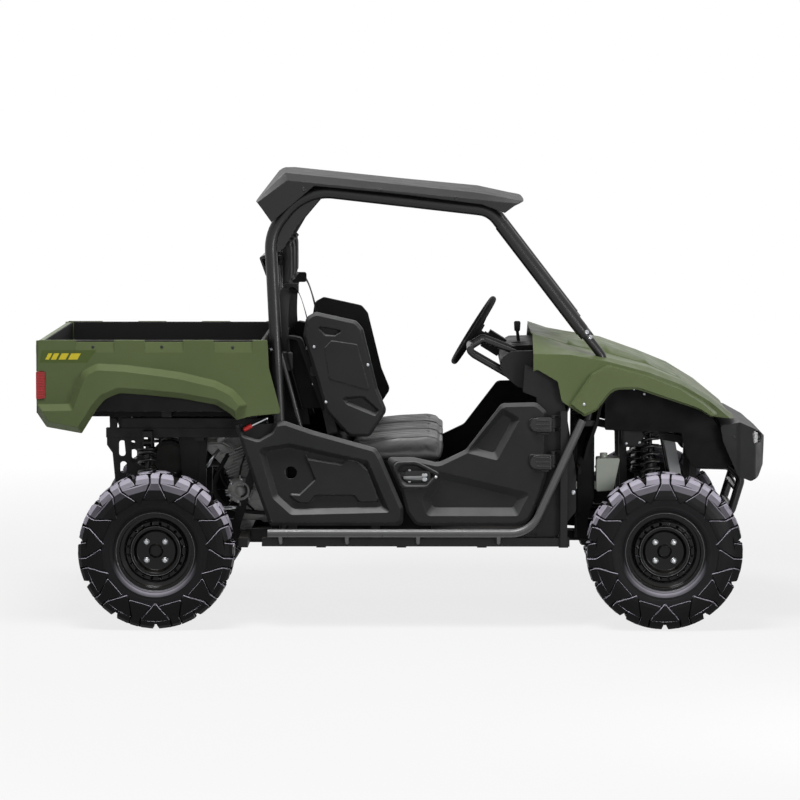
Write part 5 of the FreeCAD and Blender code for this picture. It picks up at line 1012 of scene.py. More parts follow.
end_tree(sew_tree, given, laid)
print("stitch tree", len(sew_tree.nodes), "nodes")

# %% [markdown]
# A drawn line knows nothing of how the pad swelled. Rays sent along one way from many places on it say
# where the surface is now, and a hair's breadth is left so that thread lies on the vinyl.

# %% Lines on a surface
def surface_line(pad, drawn, lay, way, out, step=0.012):
    """Points on the pad under a drawn line, found by rays along way, lifted by out."""
    tree = BVHTree.FromObject(pad, bpy.context.evaluated_depsgraph_get())
    found = []
    for a, b in zip(drawn[:-1], drawn[1:]):
        count = max(2, int(math.dist(a, b) / step))
        for i in range(count):
            u, v = [p + (q - p) * i / count for p, q in zip(a, b)]
            hit = tree.ray_cast(Vector(lay(u, v)) - Vector(way) * 0.4, Vector(way))[0]
            if hit:
                found.append(hit - Vector(way) * out)
    return found


def strand(name, points):
    """A line of points as a mesh of edges, for a tree to follow."""
    made = mesh_piece(name, points, [], vinyl)
    made.data.edges.add(len(points) - 1)
    made.data.edges.foreach_set("vertices", [k for i in range(len(points) - 1) for k in (i, i + 1)])
    return made

# %% [markdown]
# Small parts that move together are joined, so that the vehicle doesn't end up as thousands of objects.
# Each face keeps the finish that it had. The pads are made once and copied to the three seats in the same
# way.

# %% Joining parts
def merged(name, parts):
    """One object from several, each removed; the finishes are kept face by face."""
    shape, finishes, done = bmesh.new(), [], 0
    for part in parts:
        shape.from_mesh(part.data)
        shape.faces.ensure_lookup_table()
        own = list(part.data.materials) or [None]
        for face in shape.faces[done:]:
            finish = own[min(face.material_index, len(own) - 1)]
            if finish not in finishes:
                finishes.append(finish)
            face.material_index = finishes.index(finish)
        done = len(shape.faces)
    mesh = bpy.data.meshes.new(name)
    shape.to_mesh(mesh)
    shape.free()
    for finish in finishes:
        mesh.materials.append(finish)
    for part in parts:
        bpy.data.objects.remove(part)
    made = bpy.data.objects.new(name, mesh)
    bpy.context.scene.collection.objects.link(made)
    return made


def three_times(name, piece):
    """The piece at each of the three seats, as one mesh."""
    parts = []
    for k in (-1, 0, 1):
        copy = bpy.data.objects.new(f"{name}_{k}", piece.data.copy())
        copy.data.transform(Matrix.Translation((0.0, k * SEAT_PITCH, 0.0)))
        bpy.context.scene.collection.objects.link(copy)
        parts.append(copy)
    bpy.data.objects.remove(piece)
    made = merged(name, parts)
    made.data.shade_smooth()
    return made

# %% [markdown]
# A stitch is 5 mm long with 3 mm to the next. Piping is a cord in a strip of vinyl, round and even, so a
# bevelled spline with filled ends gives it in one step.

# %% Stitched seams and piping
STITCH_SIZES = {"Stitch": 0.0048, "Gap": 0.0078, "Thickness": 0.00055}


def seams_of(pad, name, lines, lay, way):
    """Stitches along each seam of a pad, on the channel's floor."""
    rows = []
    for k, line in enumerate(lines):
        points = surface_line(pad, line, lay, way, 0.0002)
        if len(points) > 2:
            rows.append(grow(f"{name}_{k}", sew_tree, STITCH_SIZES | {"Material": thread_grey},
                             host=strand("line", points)))
    return merged(name, rows)


def piping(name, points, radius, material):
    """Round cord along a line, as a tube with closed ends."""
    curve = bpy.data.curves.new(name, "CURVE")
    curve.dimensions, curve.bevel_depth, curve.bevel_resolution, curve.use_fill_caps = "3D", radius, 2, True
    spline = curve.splines.new("NURBS")
    spline.points.add(len(points) - 1)
    for spot, point in zip(spline.points, points):
        spot.co = (*point, 1.0)
    spline.order_u, spline.use_endpoint_u = 3, True
    curve.materials.append(material)
    made = bpy.data.objects.new(name, curve)
    bpy.context.scene.collection.objects.link(made)
    return plain(made)

# %% [markdown]
# The thread is a lighter grey than the vinyl. Rays drop on the seat from above and on the back from in
# front, so that the same drawn seams serve both the sewn channels and the stitches in them.

# %% Seams, piping and the finished seats
PIPING_RADIUS = 0.0032
PIPING_LIFT = 0.0012
DOWN, BACKWARDS = (0, 0, -1), (-1, 0, 0)


def above(u, v):
    """A place over the seat, from which a ray drops on it."""
    return u, v, 1.1


def ahead_of(u, v):
    """A place in front of the back, from which a ray runs to it."""
    return 0.1, u, v


def ahead_of_head(u, v):
    """A place in front of the headrest."""
    return -0.1, u, v


thread_grey = finish_of("seam_thread", chip(120, 120, 120), chip(96, 96, 96), 0.7, dust_and_sheen=0.1, edge=0.0002)
cord_lines = []
for y in (-0.178, 0.178):
    for run in (surface_line(seat_pad, [(-0.19, y), (0.155, y)], above, DOWN, PIPING_LIFT, 0.02),
                surface_line(back_pad, [(y, 0.86), (y, 1.235)], ahead_of, BACKWARDS, PIPING_LIFT, 0.02)):
        cord_lines.append(piping("edge_cord", run, PIPING_RADIUS, vinyl))
threads = [seams_of(seat_pad, "seat_stitches", PAD_SEAMS, above, DOWN),
           seams_of(back_pad, "back_stitches", BACK_SEAMS, ahead_of, BACKWARDS),
           seams_of(head_pad, "head_stitches", HEAD_SEAMS, ahead_of_head, BACKWARDS)]
for name, pad, node, skin in (("seat_pads", seat_pad, "seat_cushions", vinyl),
                              ("seat_back_pads", back_pad, "seat_backs", two_vinyl),
                              ("headrest_pads", head_pad, "headrests", grip)):
    whole = three_times(name, pad)
    whole.data.materials.clear()
    whole.data.materials.append(skin)
    settle(whole, "chassis", [node])
for name, piece in (("seat_edge_cords", merged("cords", cord_lines)),
                    ("seat_seam_thread", merged("thread", threads))):
    settle(three_times(name, piece), "chassis")

# %% [markdown]
# ## Fasteners
# Panels are held by button-head screws, tubes and brackets by flanged hex bolts and wheels by acorn nuts.
# Each kind is turned once. One tree sets it on points that carry the way the surface faces, so that a
# screw always sits square on its panel. Where it sits comes from a ray sent in from the side of the
# vehicle.

# %% Tree: heads on points
head_tree, given = new_tree("heads_on_points", [("Head", "Object")])
facing = put(head_tree, "GeometryNodeInputNamedAttribute", {"Name": "facing"},
             data_type="FLOAT_VECTOR").outputs[0]
turn_to = put(head_tree, "FunctionNodeAlignRotationToVector", {"Vector": facing}, axis="Z").outputs[0]
model = put(head_tree, "GeometryNodeObjectInfo", {"Object": given["Head"]}).outputs["Geometry"]
dots = put(head_tree, "GeometryNodeMeshToPoints", {0: given["Geometry"]}).outputs[0]
heads = put(head_tree, "GeometryNodeInstanceOnPoints", {"Points": dots, "Instance": model,
                                                        "Rotation": turn_to}).outputs[0]
end_tree(head_tree, given, heads)

# %% [markdown]
# A head is drawn as half a section in millimetres and turned about its own axis. A hexagon is the same
# thing turned in only six steps. The heads keep few faces, because the vehicle has dozens of each.

# %% Heads
def turned_z(name, section, steps):
    """A head turned about Z from (radius, height) points that start and end on the axis, in millimetres."""
    points, faces, n = [], [], len(section)
    for i in range(steps):
        a = 2 * math.pi * i / steps
        points += [(r * math.cos(a) / 1000, r * math.sin(a) / 1000, h / 1000) for r, h in section]
    for i in range(steps):
        a, b = i * n, ((i + 1) % steps) * n
        faces += [(a + k, b + k, b + k + 1, a + k + 1) for k in range(n - 1)]
    made = mesh_piece(name, points, faces, None, smooth=False)
    shape = bmesh.new()
    shape.from_mesh(made.data)
    bmesh.ops.dissolve_degenerate(shape, dist=1e-6, edges=shape.edges)
    bmesh.ops.recalc_face_normals(shape, faces=shape.faces)
    shape.to_mesh(made.data)
    shape.free()
    return made


HEADS = {  # section of each head, and its number of sides
    "button": ([(0, -1.5), (6.6, -1.5), (6.6, 0.4), (6.0, 1.9), (4.4, 3.2), (2.6, 3.7), (2.3, 1.7),
                (0, 1.6)], 12),
    "rivet": ([(0, -1.0), (8.6, -1.0), (8.6, 0.5), (7.2, 1.5), (4.2, 1.9), (3.9, 1.1), (0, 1.3)], 14),
    "flange": ([(0, -1.5), (9.2, -1.5), (9.4, 0.8), (6.6, 2.0), (0, 2.0)], 18),
    "hex": ([(0, 1.0), (6.6, 1.0), (6.6, 6.4), (5.7, 7.2), (0, 7.2)], 6),
    "acorn": ([(0, -15.0), (12.6, -15.0), (12.6, -12.6), (11.2, -11.6), (11.2, -4.5), (9.0, -0.6),
               (5.2, 1.8), (0, 2.6)], 18),
}
head_objects = {kind: turned_z(kind, section, steps) for kind, (section, steps) in HEADS.items()}
print("heads", {kind: len(o.data.polygons) for kind, o in head_objects.items()})

# %% [markdown]
# The table gives each place as X and Z in millimetres, for one side. The other side gets the same. Black
# screws are on black plastic, bright ones on paint and steel.

# %% Where fasteners go
def on_side(names, x, z, side):
    """The first surface of the named nodes met by a ray from the side, and the way that it faces."""
    best = None
    for name in names:
        mesh = nodes[name].data
        tree = BVHTree.FromPolygons([v.co for v in mesh.vertices],
                                    [tuple(f.vertices) for f in mesh.polygons])
        point, normal, _, far = tree.ray_cast(Vector((x, side * 2.0, z)), Vector((0, -side, 0)))
        if point and (best is None or far < best[2]):
            best = (point, normal if normal.y * side > 0 else -normal, far)
    return best


def heads_at(name, kind, spots, material, body):
    """Heads of one kind on (point, facing) spots, as one piece on one body."""
    if kind == "hex":
        parts = [heads_mesh(f"{name}_{k}", k, spots, material) for k in ("flange", "hex")]
        made = merged(name, parts)
    else:
        made = heads_mesh(name, kind, spots, material)
    return settle(made, body)


def heads_mesh(name, kind, spots, material):
    """One head on each spot, turned the way that the spot faces, as a plain mesh."""
    host = mesh_piece(name + "_spots", [s[0] for s in spots], [], None)
    facing_of = host.data.attributes.new("facing", "FLOAT_VECTOR", "POINT")
    order = {tuple(round(c, 5) for c in s[0]): s[1] for s in spots}
    for k, vertex in enumerate(host.data.vertices):
        facing_of.data[k].vector = order[tuple(round(c, 5) for c in Vector(vertex.co))]
    return grow(name, head_tree, {"Head": head_objects[kind], "Material": material}, host=host)

# %% [markdown]
# Rows of the table that share a node share a kind of fastener too, so each row is grown as one piece for
# each side, on the body that its panel rides on.

# %% Fasteners of panels and tubes
BRIGHT, DARK = zinc, powder
FASTENERS = [  # kind, finish, body, node, places as (x, z)
    ("button", BRIGHT, "chassis", "fender_{s}", [(757, 951), (610, 1000)]),
    ("button", BRIGHT, "chassis", "wheel_liners", [(977, 998), (1021, 977), (1180, 940)]),
    ("hex", BRIGHT, "chassis", "frame_centre frame_front sill_bars floor_pan", [(716, 571), (759, 508)]),
    ("hex", BRIGHT, "chassis", "cage_{s}", [(771, 1250), (786, 1229), (-559, 1174), (-494, 1186)]),
    ("button", BRIGHT, "chassis", "shoulder_bolsters", [(-151, 1111), (-378, 1187), (-328, 954)]),
    ("button", BRIGHT, "door_{s}", "door_{s}", [(24, 668), (24, 622), (136, 643)]),
    ("rivet", DARK, "chassis", "side_cover_{s}", [(-660, 850), (-60, 820), (-560, 452)]),
    ("button", DARK, "cargo_bed", "bed_side_{s}", [(-1305, 1190), (-1016, 1190), (-718, 1188), (-560, 1160),
                                                   (-640, 850)]),
    ("rivet", DARK, "chassis", "roof", [(-420, 1850), (-100, 1850), (220, 1812)]),
    ("button", DARK, "chassis", "front_bumper", [(1400, 800), (1380, 700)]),
]
for row, (kind, finish, body, node, places) in enumerate(FASTENERS):
    for side_name, side in (("left", 1), ("right", -1)):
        found = [on_side(node.format(s=side_name).split(), x / 1000, z / 1000, side) for x, z in places]
        spots = [(hit[0], hit[1]) for hit in found if hit]
        if spots:
            heads_at(f"{kind}_heads_{row}_{side_name}", kind, spots, finish, body.format(s=side_name))

# %% [markdown]
# Each wheel has four nuts on a 110 mm circle. Where its pressed disc is bent and where its lip is rolled,
# a thin bright ring of grey metal laid on the steel is a painted highlight for the light that these edges
# catch.

# %% Lug nuts and painted highlights on wheel edges
NUT_OFFSET = 0.0389  # 55 mm from the centre, at 45 degrees
HIGHLIGHT_RINGS = ((0.1655, 0.0016), (0.1040, 0.0011))  # radius of each ring and of its section

for end in ("front", "rear"):
    for side_name, side in (("left", 1), ("right", -1)):
        node = f"wheel_{end}_{side_name}"
        low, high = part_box(node)
        middle_at = (low + high) / 2
        found = [on_side([node], middle_at.x + dx, middle_at.z + dz, side)
                 for dx in (-NUT_OFFSET, NUT_OFFSET) for dz in (-NUT_OFFSET, NUT_OFFSET)]
        heads_at(f"lug_nuts_{end}_{side_name}", "acorn", [(h[0], Vector((0, side, 0))) for h in found if h],
                 lug_steel, f"{end}_wheel_{side_name}")
        highlight_rings = []
        for r, thick in HIGHLIGHT_RINGS:
            y = on_side([node], middle_at.x + r, middle_at.z, side)[0].y
            wire = [(r + thick * math.cos(a), y - middle_at.y + thick * math.sin(a))
                    for a in (k * math.pi / 3 for k in range(6))]
            highlight_rings.append(lathe_y("edge_ring", wire, middle_at, 96, rim_edge))
        settle(merged(f"rim_rings_{end}_{side_name}", highlight_rings), f"{end}_wheel_{side_name}")

# %% [markdown]
# ## Door latches and hinges
# The latch is a cast lever in a recessed pod: a plate, a paddle that fingers pull and the hook of its
# rod. The hinge covers are ribbed mouldings with rounded noses. Both are made from outlines that are
# given a thickness and small rounded edges, as a moulding or a casting is.

# %% Plates with rounded edges
def plate(name, outline, lay, low, high, material, edge=0.001, steps=2):
    """An outline in u and v, made solid from low to high with rounded edges; lay puts it in place."""
    points = [lay(u, v, w) for w in (low, high) for u, v in outline]
    made = mesh_piece(name, points, slab_faces(len(outline)), material, smooth=False)
    if edge:
        soft = made.modifiers.new("edges", "BEVEL")
        soft.width, soft.segments = edge, steps
        soft.limit_method, soft.angle_limit = "ANGLE", math.radians(25)
        made = plain(made)
    return made


def rounded_box(u0, u1, v0, v1, r, steps=4):
    """Outline of a rectangle with round corners."""
    corners = [(u1 - r, v1 - r, 0), (u0 + r, v1 - r, 90), (u0 + r, v0 + r, 180), (u1 - r, v0 + r, 270)]
    return [(cu + r * math.cos(math.radians(a + 90 * k / steps)),
             cv + r * math.sin(math.radians(a + 90 * k / steps)))
            for cu, cv, a in corners for k in range(steps + 1)]


def outward(side):
    """Puts an outline drawn from the side on the left (1) or right (-1), with w counted outwards."""
    return lambda u, v, w: (u, side * w, v)

# %% [markdown]
# A ray finds how deep the pod's floor lies and where the door's face is at each hinge, so the latch and
# the hinge covers sit on them. What is drawn for one door serves both.

# %% Latches and hinge covers on both doors
HINGE_HEIGHTS = (0.864, 0.706)
NOSE = [(0.622, 0.031), (0.566, 0.031), (0.545, 0.027), (0.532, 0.014), (0.529, 0.0), (0.532, -0.014),
        (0.545, -0.027), (0.566, -0.031), (0.622, -0.031)]

for side_name, side in (("left", 1), ("right", -1)):
    door, out = f"door_{side_name}", outward(side)
    floor_y = on_side([door], 0.05, 0.655, side)[0].y * side
    base = plate("latch_plate", rounded_box(0.006, 0.112, 0.624, 0.668, 0.010), out, floor_y - 0.001,
                 floor_y + 0.0018, powder, 0.0006)
    settle(base, door)
    paddle = plate("latch_paddle", [(-0.001, 0.6455), (-0.001, 0.6335), (0.060, 0.6300), (0.082, 0.6300),
                                    (0.086, 0.6340), (0.085, 0.6440), (0.078, 0.6470)], out,
                   floor_y + 0.003, floor_y + 0.010, latch_grey, 0.0022, 3)
    rib = plate("latch_rib", rounded_box(0.006, 0.074, 0.6365, 0.6400, 0.0017), out, floor_y + 0.0085,
                floor_y + 0.0118, latch_grey, 0.0008)
    settle(merged(f"latch_lever_{side_name}", [paddle, rib]), door)
    hook = plate("latch_hook", rounded_box(0.076, 0.100, 0.6440, 0.6570, 0.0055), out, floor_y + 0.002,
                 floor_y + 0.0135, lug_steel, 0.002, 3)
    pin = plate("latch_pin", rounded_box(0.078, 0.098, 0.6240, 0.6420, 0.0075), out, floor_y + 0.001,
                floor_y + 0.0110, lug_steel, 0.0025, 3)
    settle(merged(f"latch_hook_{side_name}", [hook, pin]), door)
    covers, feet = [], []
    for z in HINGE_HEIGHTS:
        face = on_side([door], 0.56, z, side)[0].y * side
        covers.append(plate("hinge_cover", [(u, z + v) for u, v in NOSE], out, face - 0.002, face + 0.011,
                            powder, 0.004, 3))
        for step in (-0.018, 0.0, 0.018):
            rib_box = rounded_box(0.556, 0.612, z + step - 0.0035, z + step + 0.0035, 0.003)
            covers.append(plate("hinge_rib", rib_box, out, face + 0.009, face + 0.0150, powder, 0.0015))
        feet.append(plate("hinge_foot", rounded_box(0.560, 0.610, z - 0.041, z - 0.0345, 0.003), out,
                          face - 0.002, face + 0.004, black, 0.0012))
    settle(merged(f"hinge_covers_{side_name}", covers), door)
    settle(merged(f"hinge_feet_{side_name}", feet), door)

# %% [markdown]
# ## Seat belts
# Each outer seat has a three-point belt and a buckle on a stalk. Webbing is 46 mm wide and just over a
# millimetre thick, so it bends easily one way and hardly the other. It is swept along a smooth line, with
# its flat side turned by a direction given at each point.

# %% Webbing along a line
webbing = finish_of("belt_webbing", chip(24, 24, 25), chip(17, 17, 18), 0.6, grain=0.0004, cells=520.0,
                    dust_and_sheen=0.08, edge=0.0006, scuff_and_glint=(chip(80, 80, 80), 0.3), specular_ior_level=0.35)


def smooth_line(points, steps=12):
    """Catmull-Rom line through the points."""
    p = [np.array(q, float) for q in points]
    p = [2 * p[0] - p[1]] + p + [2 * p[-1] - p[-2]]
    line = []
    for a, b, c, d in zip(p[:-3], p[1:-2], p[2:-1], p[3:]):
        for k in range(steps):
            t = k / steps
            line.append(0.5 * (2 * b + (c - a) * t + (2 * a - 5 * b + 4 * c - d) * t * t
                               + (3 * b - a - 3 * c + d) * t ** 3))
    return line + [p[-2]]


print("line through 3 points:", len(smooth_line([(0, 0), (1, 0), (1, 1)])), "points")

# %% [markdown]
# At each point of the line, eight points make the section of the webbing. Its width follows the given
# direction as nearly as the line allows, and its edges are a little thinner, as a woven edge is.

# %% Straps
def ribbon(name, rows, width, thick, material):
    """A flat strap through rows of (x, y, z, ax, ay, az), where a is the way that its width lies."""
    both = smooth_line(rows)
    points, faces = [], []
    for k, row in enumerate(both):
        at, wide = Vector(row[:3]), Vector(row[3:]).normalized()
        ahead = Vector(both[min(k + 1, len(both) - 1)][:3]) - Vector(both[max(k - 1, 0)][:3])
        flat = ahead.cross(wide).normalized() * thick / 2
        wide = flat.cross(ahead).normalized() * width / 2
        points += [at + wide + flat * 0.4, at + wide * 0.94 + flat, at - wide * 0.94 + flat,
                   at - wide + flat * 0.4, at - wide - flat * 0.4, at - wide * 0.94 - flat,
                   at + wide * 0.94 - flat, at + wide - flat * 0.4]
    for k in range(len(both) - 1):
        a, b = 8 * k, 8 * (k + 1)
        faces += [(a + i, a + (i + 1) % 8, b + (i + 1) % 8, b + i) for i in range(8)]
    last = 8 * (len(both) - 1)
    faces += [tuple(range(8)), tuple(last + i for i in range(7, -1, -1))]
    return mesh_piece(name, points, faces, material)

# %% [markdown]
# The shoulder strap runs up from its reel behind the seat, through a loop on the cage, and down beside
# the back. The tongue and its stop hang on it, and the buckle stands on a stiff stalk between the seats.

# %% Belts and buckles
STRAP = [  # x, y, z, then the way that the width lies, for the left side
    (-0.500, 0.545, 1.120, 0.9, 0.3, 0), (-0.512, 0.543, 1.270, 0.9, 0.2, 0),
    (-0.505, 0.540, 1.395, 0.9, 0, 0), (-0.480, 0.540, 1.432, 0.5, 0.8, 0.2),
    (-0.440, 0.548, 1.400, 0.1, 1, 0), (-0.398, 0.560, 1.250, 0.2, 1, 0),
    (-0.372, 0.572, 1.080, 0.4, 0.9, 0), (-0.330, 0.582, 0.930, 0.8, 0.5, 0),
    (-0.300, 0.584, 0.812, 1, 0.1, 0)]
BELT_PARTS = [  # name, outline box, its corner radius, from and to across, finish, edge
    ("belt_tongue", (-0.389, -0.343, 1.020, 1.062), 0.006, 0.5705, 0.5735, lug_steel, 0.0006),
    ("belt_stop", (-0.398, -0.340, 1.058, 1.100), 0.009, 0.5655, 0.5785, black, 0.003),
    ("belt_reel", (-0.536, -0.470, 1.080, 1.160), 0.012, 0.520, 0.570, black, 0.004),
    ("belt_loop", (-0.512, -0.446, 1.405, 1.450), 0.010, 0.510, 0.522, black, 0.003)]
BUCKLE_Y = 0.199


def tipped(u, v, w):
    """The buckle's outline, rising forwards."""
    return u, w, v + (u + 0.16) * 0.35


for side_name, side in (("left", 1), ("right", -1)):
    rows = [(x, side * y, z, a, side * b, c) for x, y, z, a, b, c in STRAP]
    strap = ribbon("shoulder_strap", rows, 0.046, 0.0014, webbing)
    fittings = [plate(part, rounded_box(*box, r), outward(side), y0, y1, finish, edge)
                for part, box, r, y0, y1, finish, edge in BELT_PARTS]
    settle(merged(f"belt_{side_name}", [strap, *fittings]), "chassis")
    y = side * BUCKLE_Y
    stalk_rows = [(-0.250, y, 0.700, 0, 1, 0), (-0.215, y, 0.780, 0, 1, 0), (-0.160, y, 0.842, 0, 1, 0)]
    stalk = ribbon("buckle_stalk", stalk_rows, 0.018, 0.004, webbing)
    shell_box = rounded_box(-0.165, -0.105, 0.825, 0.857, 0.008)
    press_box = rounded_box(-0.119, -0.1035, 0.829, 0.853, 0.004)
    shell = plate("buckle_shell", shell_box, tipped, y - 0.013, y + 0.013, black, 0.003)
    press = plate("buckle_button", press_box, tipped, y - 0.009, y + 0.009, red_knob, 0.001)
    settle(merged(f"buckle_{side_name}", [stalk, shell, press]), "chassis")

# %% [markdown]
# ## Engine and fittings
# Behind the side cover stands the engine: a cooled block with thin fins, a round generator cover with
# ribs, a ring of bolts and pipes that come and go. The parts sit just proud of the block that the frame
# has. Fins are one plate repeated up the cylinder by a tree, and the cover is turned, so that its steps
# are round.

# %% Tree: fins up an axis
fin_tree, given = new_tree("fins_up_an_axis", [("Fin", "Object"), ("Count", "Int"), ("Step", "Vector")])
fin_model = put(fin_tree, "GeometryNodeObjectInfo", {"Object": given["Fin"]}).outputs["Geometry"]
fin_at = put(fin_tree, "GeometryNodeMeshLine", {"Count": given["Count"], "Offset": given["Step"]},
             mode="OFFSET").outputs[0]
fins = put(fin_tree, "GeometryNodeInstanceOnPoints", {"Points": fin_at, "Instance": fin_model}).outputs[0]
end_tree(fin_tree, given, fins)
print("fin tree", len(fin_tree.nodes), "nodes")

# %% [markdown]
# The cover is a disc with two raised rings and eight short ribs, the cylinder is nine fins leaning back,
# and the rocker box caps it. They are cast in one alloy, so they become one piece.

# %% Engine cover, fins and rocker box
COVER_SECTION = [  # radius, and how far outwards
    (0.0, 0.030), (0.017, 0.030), (0.020, 0.026), (0.022, 0.014), (0.031, 0.012), (0.033, 0.019),
    (0.040, 0.019), (0.043, 0.012), (0.052, 0.010), (0.055, 0.0), (0.055, -0.060),
    (0.0, -0.060)]
RIB_SECTION = (  # radius, place beside it
    (0.045, -0.0025), (0.066, -0.0035), (0.066, 0.0035), (0.045, 0.0025))
FIN_OUTLINE = [(-0.062, -0.0022), (0.062, -0.0022), (0.066, 0.0), (0.062, 0.0022), (-0.062, 0.0022),
               (-0.066, 0.0)]
ROCKER_OUTLINE = [(-0.806, 0.748), (-0.690, 0.795), (-0.700, 0.822), (-0.735, 0.826), (-0.812, 0.790)]
CYLINDER_WAY = Vector((-0.38, 0.0, 0.925)).normalized()
FIN_COUNT, FIN_PITCH, RIB_COUNT = 9, 0.0125, 8


def side_plate(name, outline, y0, y1, material, edge=0.001):
    """A plate seen from the side, between two sideways places."""
    return plate(name, outline, across_seat, y0, y1, material, edge)


def engine_castings(side, cover_at):
    """The round cover with its ribs, the fins and the rocker box of one side, in one list."""
    parts = [lathe_y("cover", [(r, side * y) for r, y in COVER_SECTION], cover_at, 48, cast, closed=False)]
    for k in range(RIB_COUNT):
        a = 2 * math.pi * k / RIB_COUNT
        ray = [(cover_at.x + math.cos(a) * r - math.sin(a) * w,
                cover_at.z + math.sin(a) * r + math.cos(a) * w) for r, w in RIB_SECTION]
        parts.append(side_plate("cover_rib", ray, cover_at.y - 0.012, cover_at.y + 0.012, cast, 0.0012))
    fin = side_plate("fin", FIN_OUTLINE, side * 0.240 - 0.030, side * 0.240 + 0.034, cast, 0.0006)
    fin.data.transform(Matrix.Translation((-0.700, 0, 0.625)) @ Matrix.Rotation(math.radians(-22), 4, "Y"))
    stack = grow("fins", fin_tree, {"Fin": fin, "Count": FIN_COUNT, "Step": tuple(CYLINDER_WAY * FIN_PITCH),
                                    "Material": cast})
    bpy.data.objects.remove(fin)
    return parts + [stack, side_plate("rocker_box", ROCKER_OUTLINE, side * 0.20 - 0.06, side * 0.20 + 0.07,
                                      cast, 0.004)]

# %% [markdown]
# Pipes are round tubes on smooth splines through a few points: a drain and a breather of bright metal,
# and a hose and a sleeve of black rubber. Six screws hold the cover, and four more hold the castings
# round it.

# %% Engine on both sides
COVER_SCREWS = 0.0475  # radius of their circle
CASTING_SCREWS = ((-0.720, 0.790), (-0.778, 0.770), (-0.592, 0.512), (-0.700, 0.500))
PIPES = [  # points for the left side, radius, finish
    ([(-0.800, 0.30, 0.470), (-0.760, 0.315, 0.474), (-0.715, 0.315, 0.474), (-0.690, 0.29, 0.468)],
     0.009, lug_steel),
    ([(-0.860, 0.24, 0.640), (-0.842, 0.30, 0.655), (-0.826, 0.33, 0.690), (-0.800, 0.30, 0.720)],
     0.0065, zinc),
    ([(-0.760, 0.26, 0.700), (-0.820, 0.31, 0.600), (-0.815, 0.32, 0.520), (-0.740, 0.30, 0.455),
      (-0.600, 0.29, 0.448)], 0.0095, grip),
    ([(-0.640, 0.28, 0.800), (-0.690, 0.31, 0.700), (-0.715, 0.315, 0.600), (-0.700, 0.30, 0.500),
      (-0.650, 0.28, 0.460)], 0.0042, grip)]

for side_name, side in (("right", -1), ("left", 1)):
    cover_at = Vector((-0.706, side * 0.315, 0.548))
    settle(merged(f"engine_cover_{side_name}", engine_castings(side, cover_at)), "chassis")
    outwards = Vector((0, side, 0))
    bolt_spots = [(cover_at + Vector((math.cos(a) * COVER_SCREWS, side * 0.0115,
                                      math.sin(a) * COVER_SCREWS)), outwards)
                  for a in (math.radians(d) for d in range(22, 382, 60))]
    bolt_spots += [(Vector((x, side * 0.272, z)), outwards) for x, z in CASTING_SCREWS]
    heads_at(f"engine_bolts_{side_name}", "button", bolt_spots, lug_steel, "chassis")
    pipes = [piping("pipe", [(x, side * y, z) for x, y, z in line], r, finish) for line, r, finish in PIPES]
    settle(merged(f"engine_pipes_{side_name}", pipes), "chassis")

# %% [markdown]
# The lever that frees the bed ends in a red grip, turned about its own axis and then swung into line with
# the lever. In the front bay, a thin stay runs down from the fender and a small closed box holds the
# controls.

# %% Red release knob, stays and control boxes
KNOB_SECTION = [(0.0, -0.024), (0.0075, -0.024), (0.0098, -0.020), (0.0100, 0.010), (0.0085, 0.016),
                (0.0, 0.017)]
STAY = [(0.868, 0.455, 0.949), (0.930, 0.462, 0.918), (0.985, 0.462, 0.890), (1.030, 0.455, 0.868)]
CASE_OUTLINE = [(0.930, 0.745), (1.018, 0.748), (1.024, 0.800), (1.018, 0.838), (0.950, 0.842),
                (0.928, 0.826)]
LID_OUTLINE = [(0.937, 0.752), (1.011, 0.755), (1.016, 0.800), (1.011, 0.831), (0.953, 0.835),
               (0.935, 0.820)]
LID_SCREWS = ((0.948, 0.762), (1.004, 0.766), (1.006, 0.824), (0.956, 0.826))
BOX_INSIDE, BOX_FACE, LID_FACE = 0.395, 0.432, 0.436

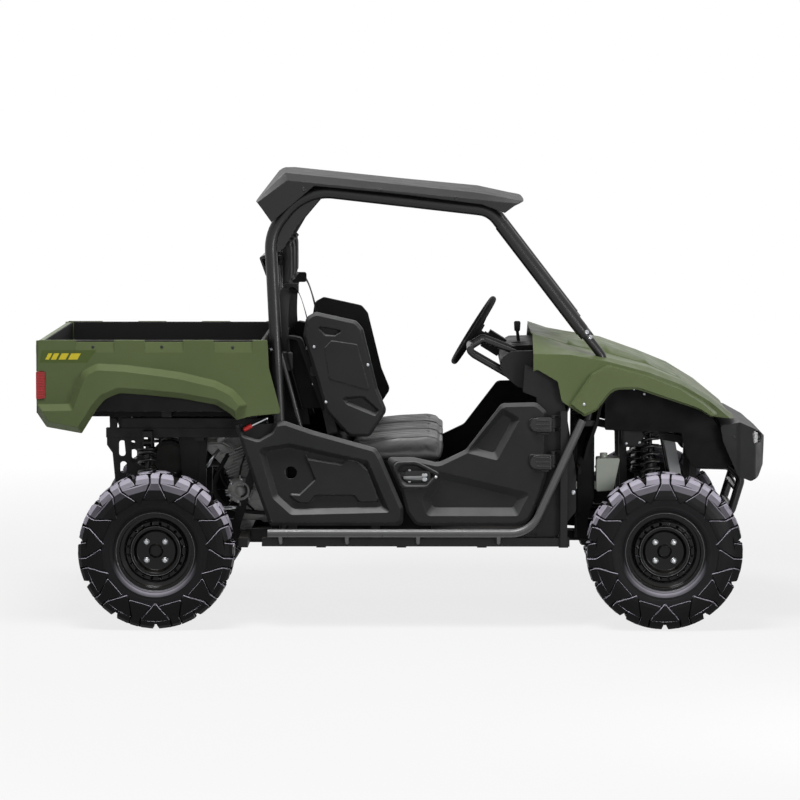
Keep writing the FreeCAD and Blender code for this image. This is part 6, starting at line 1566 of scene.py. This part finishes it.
lever_low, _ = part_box("bed_release")
knob = lathe_y("release_knob", KNOB_SECTION, Vector((0, 0, 0)), 28, red_knob, closed=False)
lever_way = Vector((28.0, 0.0, 16.0)).normalized()
knob_turn = lever_way.to_track_quat("Y", "Z").to_matrix().to_4x4()
knob.data.transform(Matrix.Translation((-0.654, lever_low.y + 0.008, 0.8500)) @ knob_turn)
settle(knob, "chassis")
for side_name, side in (("left", 1), ("right", -1)):
    stay = piping("stay", [(x, side * y, z) for x, y, z in STAY], 0.0042, zinc)
    case = side_plate("control_box", CASE_OUTLINE, *sorted((side * BOX_INSIDE, side * BOX_FACE)),
                      plastic_grey, 0.003)
    lid = side_plate("control_lid", LID_OUTLINE, *sorted((side * BOX_FACE, side * LID_FACE)), plastic_grey,
                     0.0012)
    settle(merged(f"bay_fittings_{side_name}", [stay, case, lid]), "chassis")
    lid_spots = [(Vector((x, side * LID_FACE, z)), Vector((0, side, 0))) for x, z in LID_SCREWS]
    heads_at(f"bay_bolts_{side_name}", "button", lid_spots, zinc, "chassis")

for head in head_objects.values():
    bpy.data.objects.remove(head)

# %% [markdown]
# ## Marks on the bed
# The rear corner of each bed side has a plain adhesive mark: a darker patch with slanted bars and no
# words. Film is a few tenths of a millimetre thick, so it is a plate that hardly stands off the panel.

# %% Slanted bars on a patch
PATCH_OUTLINE = [(-1.520, 1.176), (-1.530, 1.124), (-1.330, 1.124), (-1.290, 1.176)]
BARS = (  # foot of each bar, and its width
    (-1.506, 0.016), (-1.482, 0.022), (-1.450, 0.030), (-1.410, 0.040))
BAR_LOW, BAR_HIGH, BAR_LEAN = 1.137, 1.163, 0.014

for side_name, side in (("left", 1), ("right", -1)):
    face = on_side([f"bed_side_{side_name}"], -1.425, 1.150, side)[0].y * side
    film = outward(side)
    patch = plate(f"bed_patch_{side_name}", PATCH_OUTLINE, film, face - 0.0002, face + 0.0003,
                  decal_green, 0)
    settle(patch, "cargo_bed")
    bars = [plate("bar", [(u, BAR_LOW), (u + BAR_LEAN, BAR_HIGH), (u + BAR_LEAN + w, BAR_HIGH),
                          (u + w, BAR_LOW)], film, face, face + 0.0006, decal_yellow, 0) for u, w in BARS]
    settle(merged(f"bed_bars_{side_name}", bars), "cargo_bed")
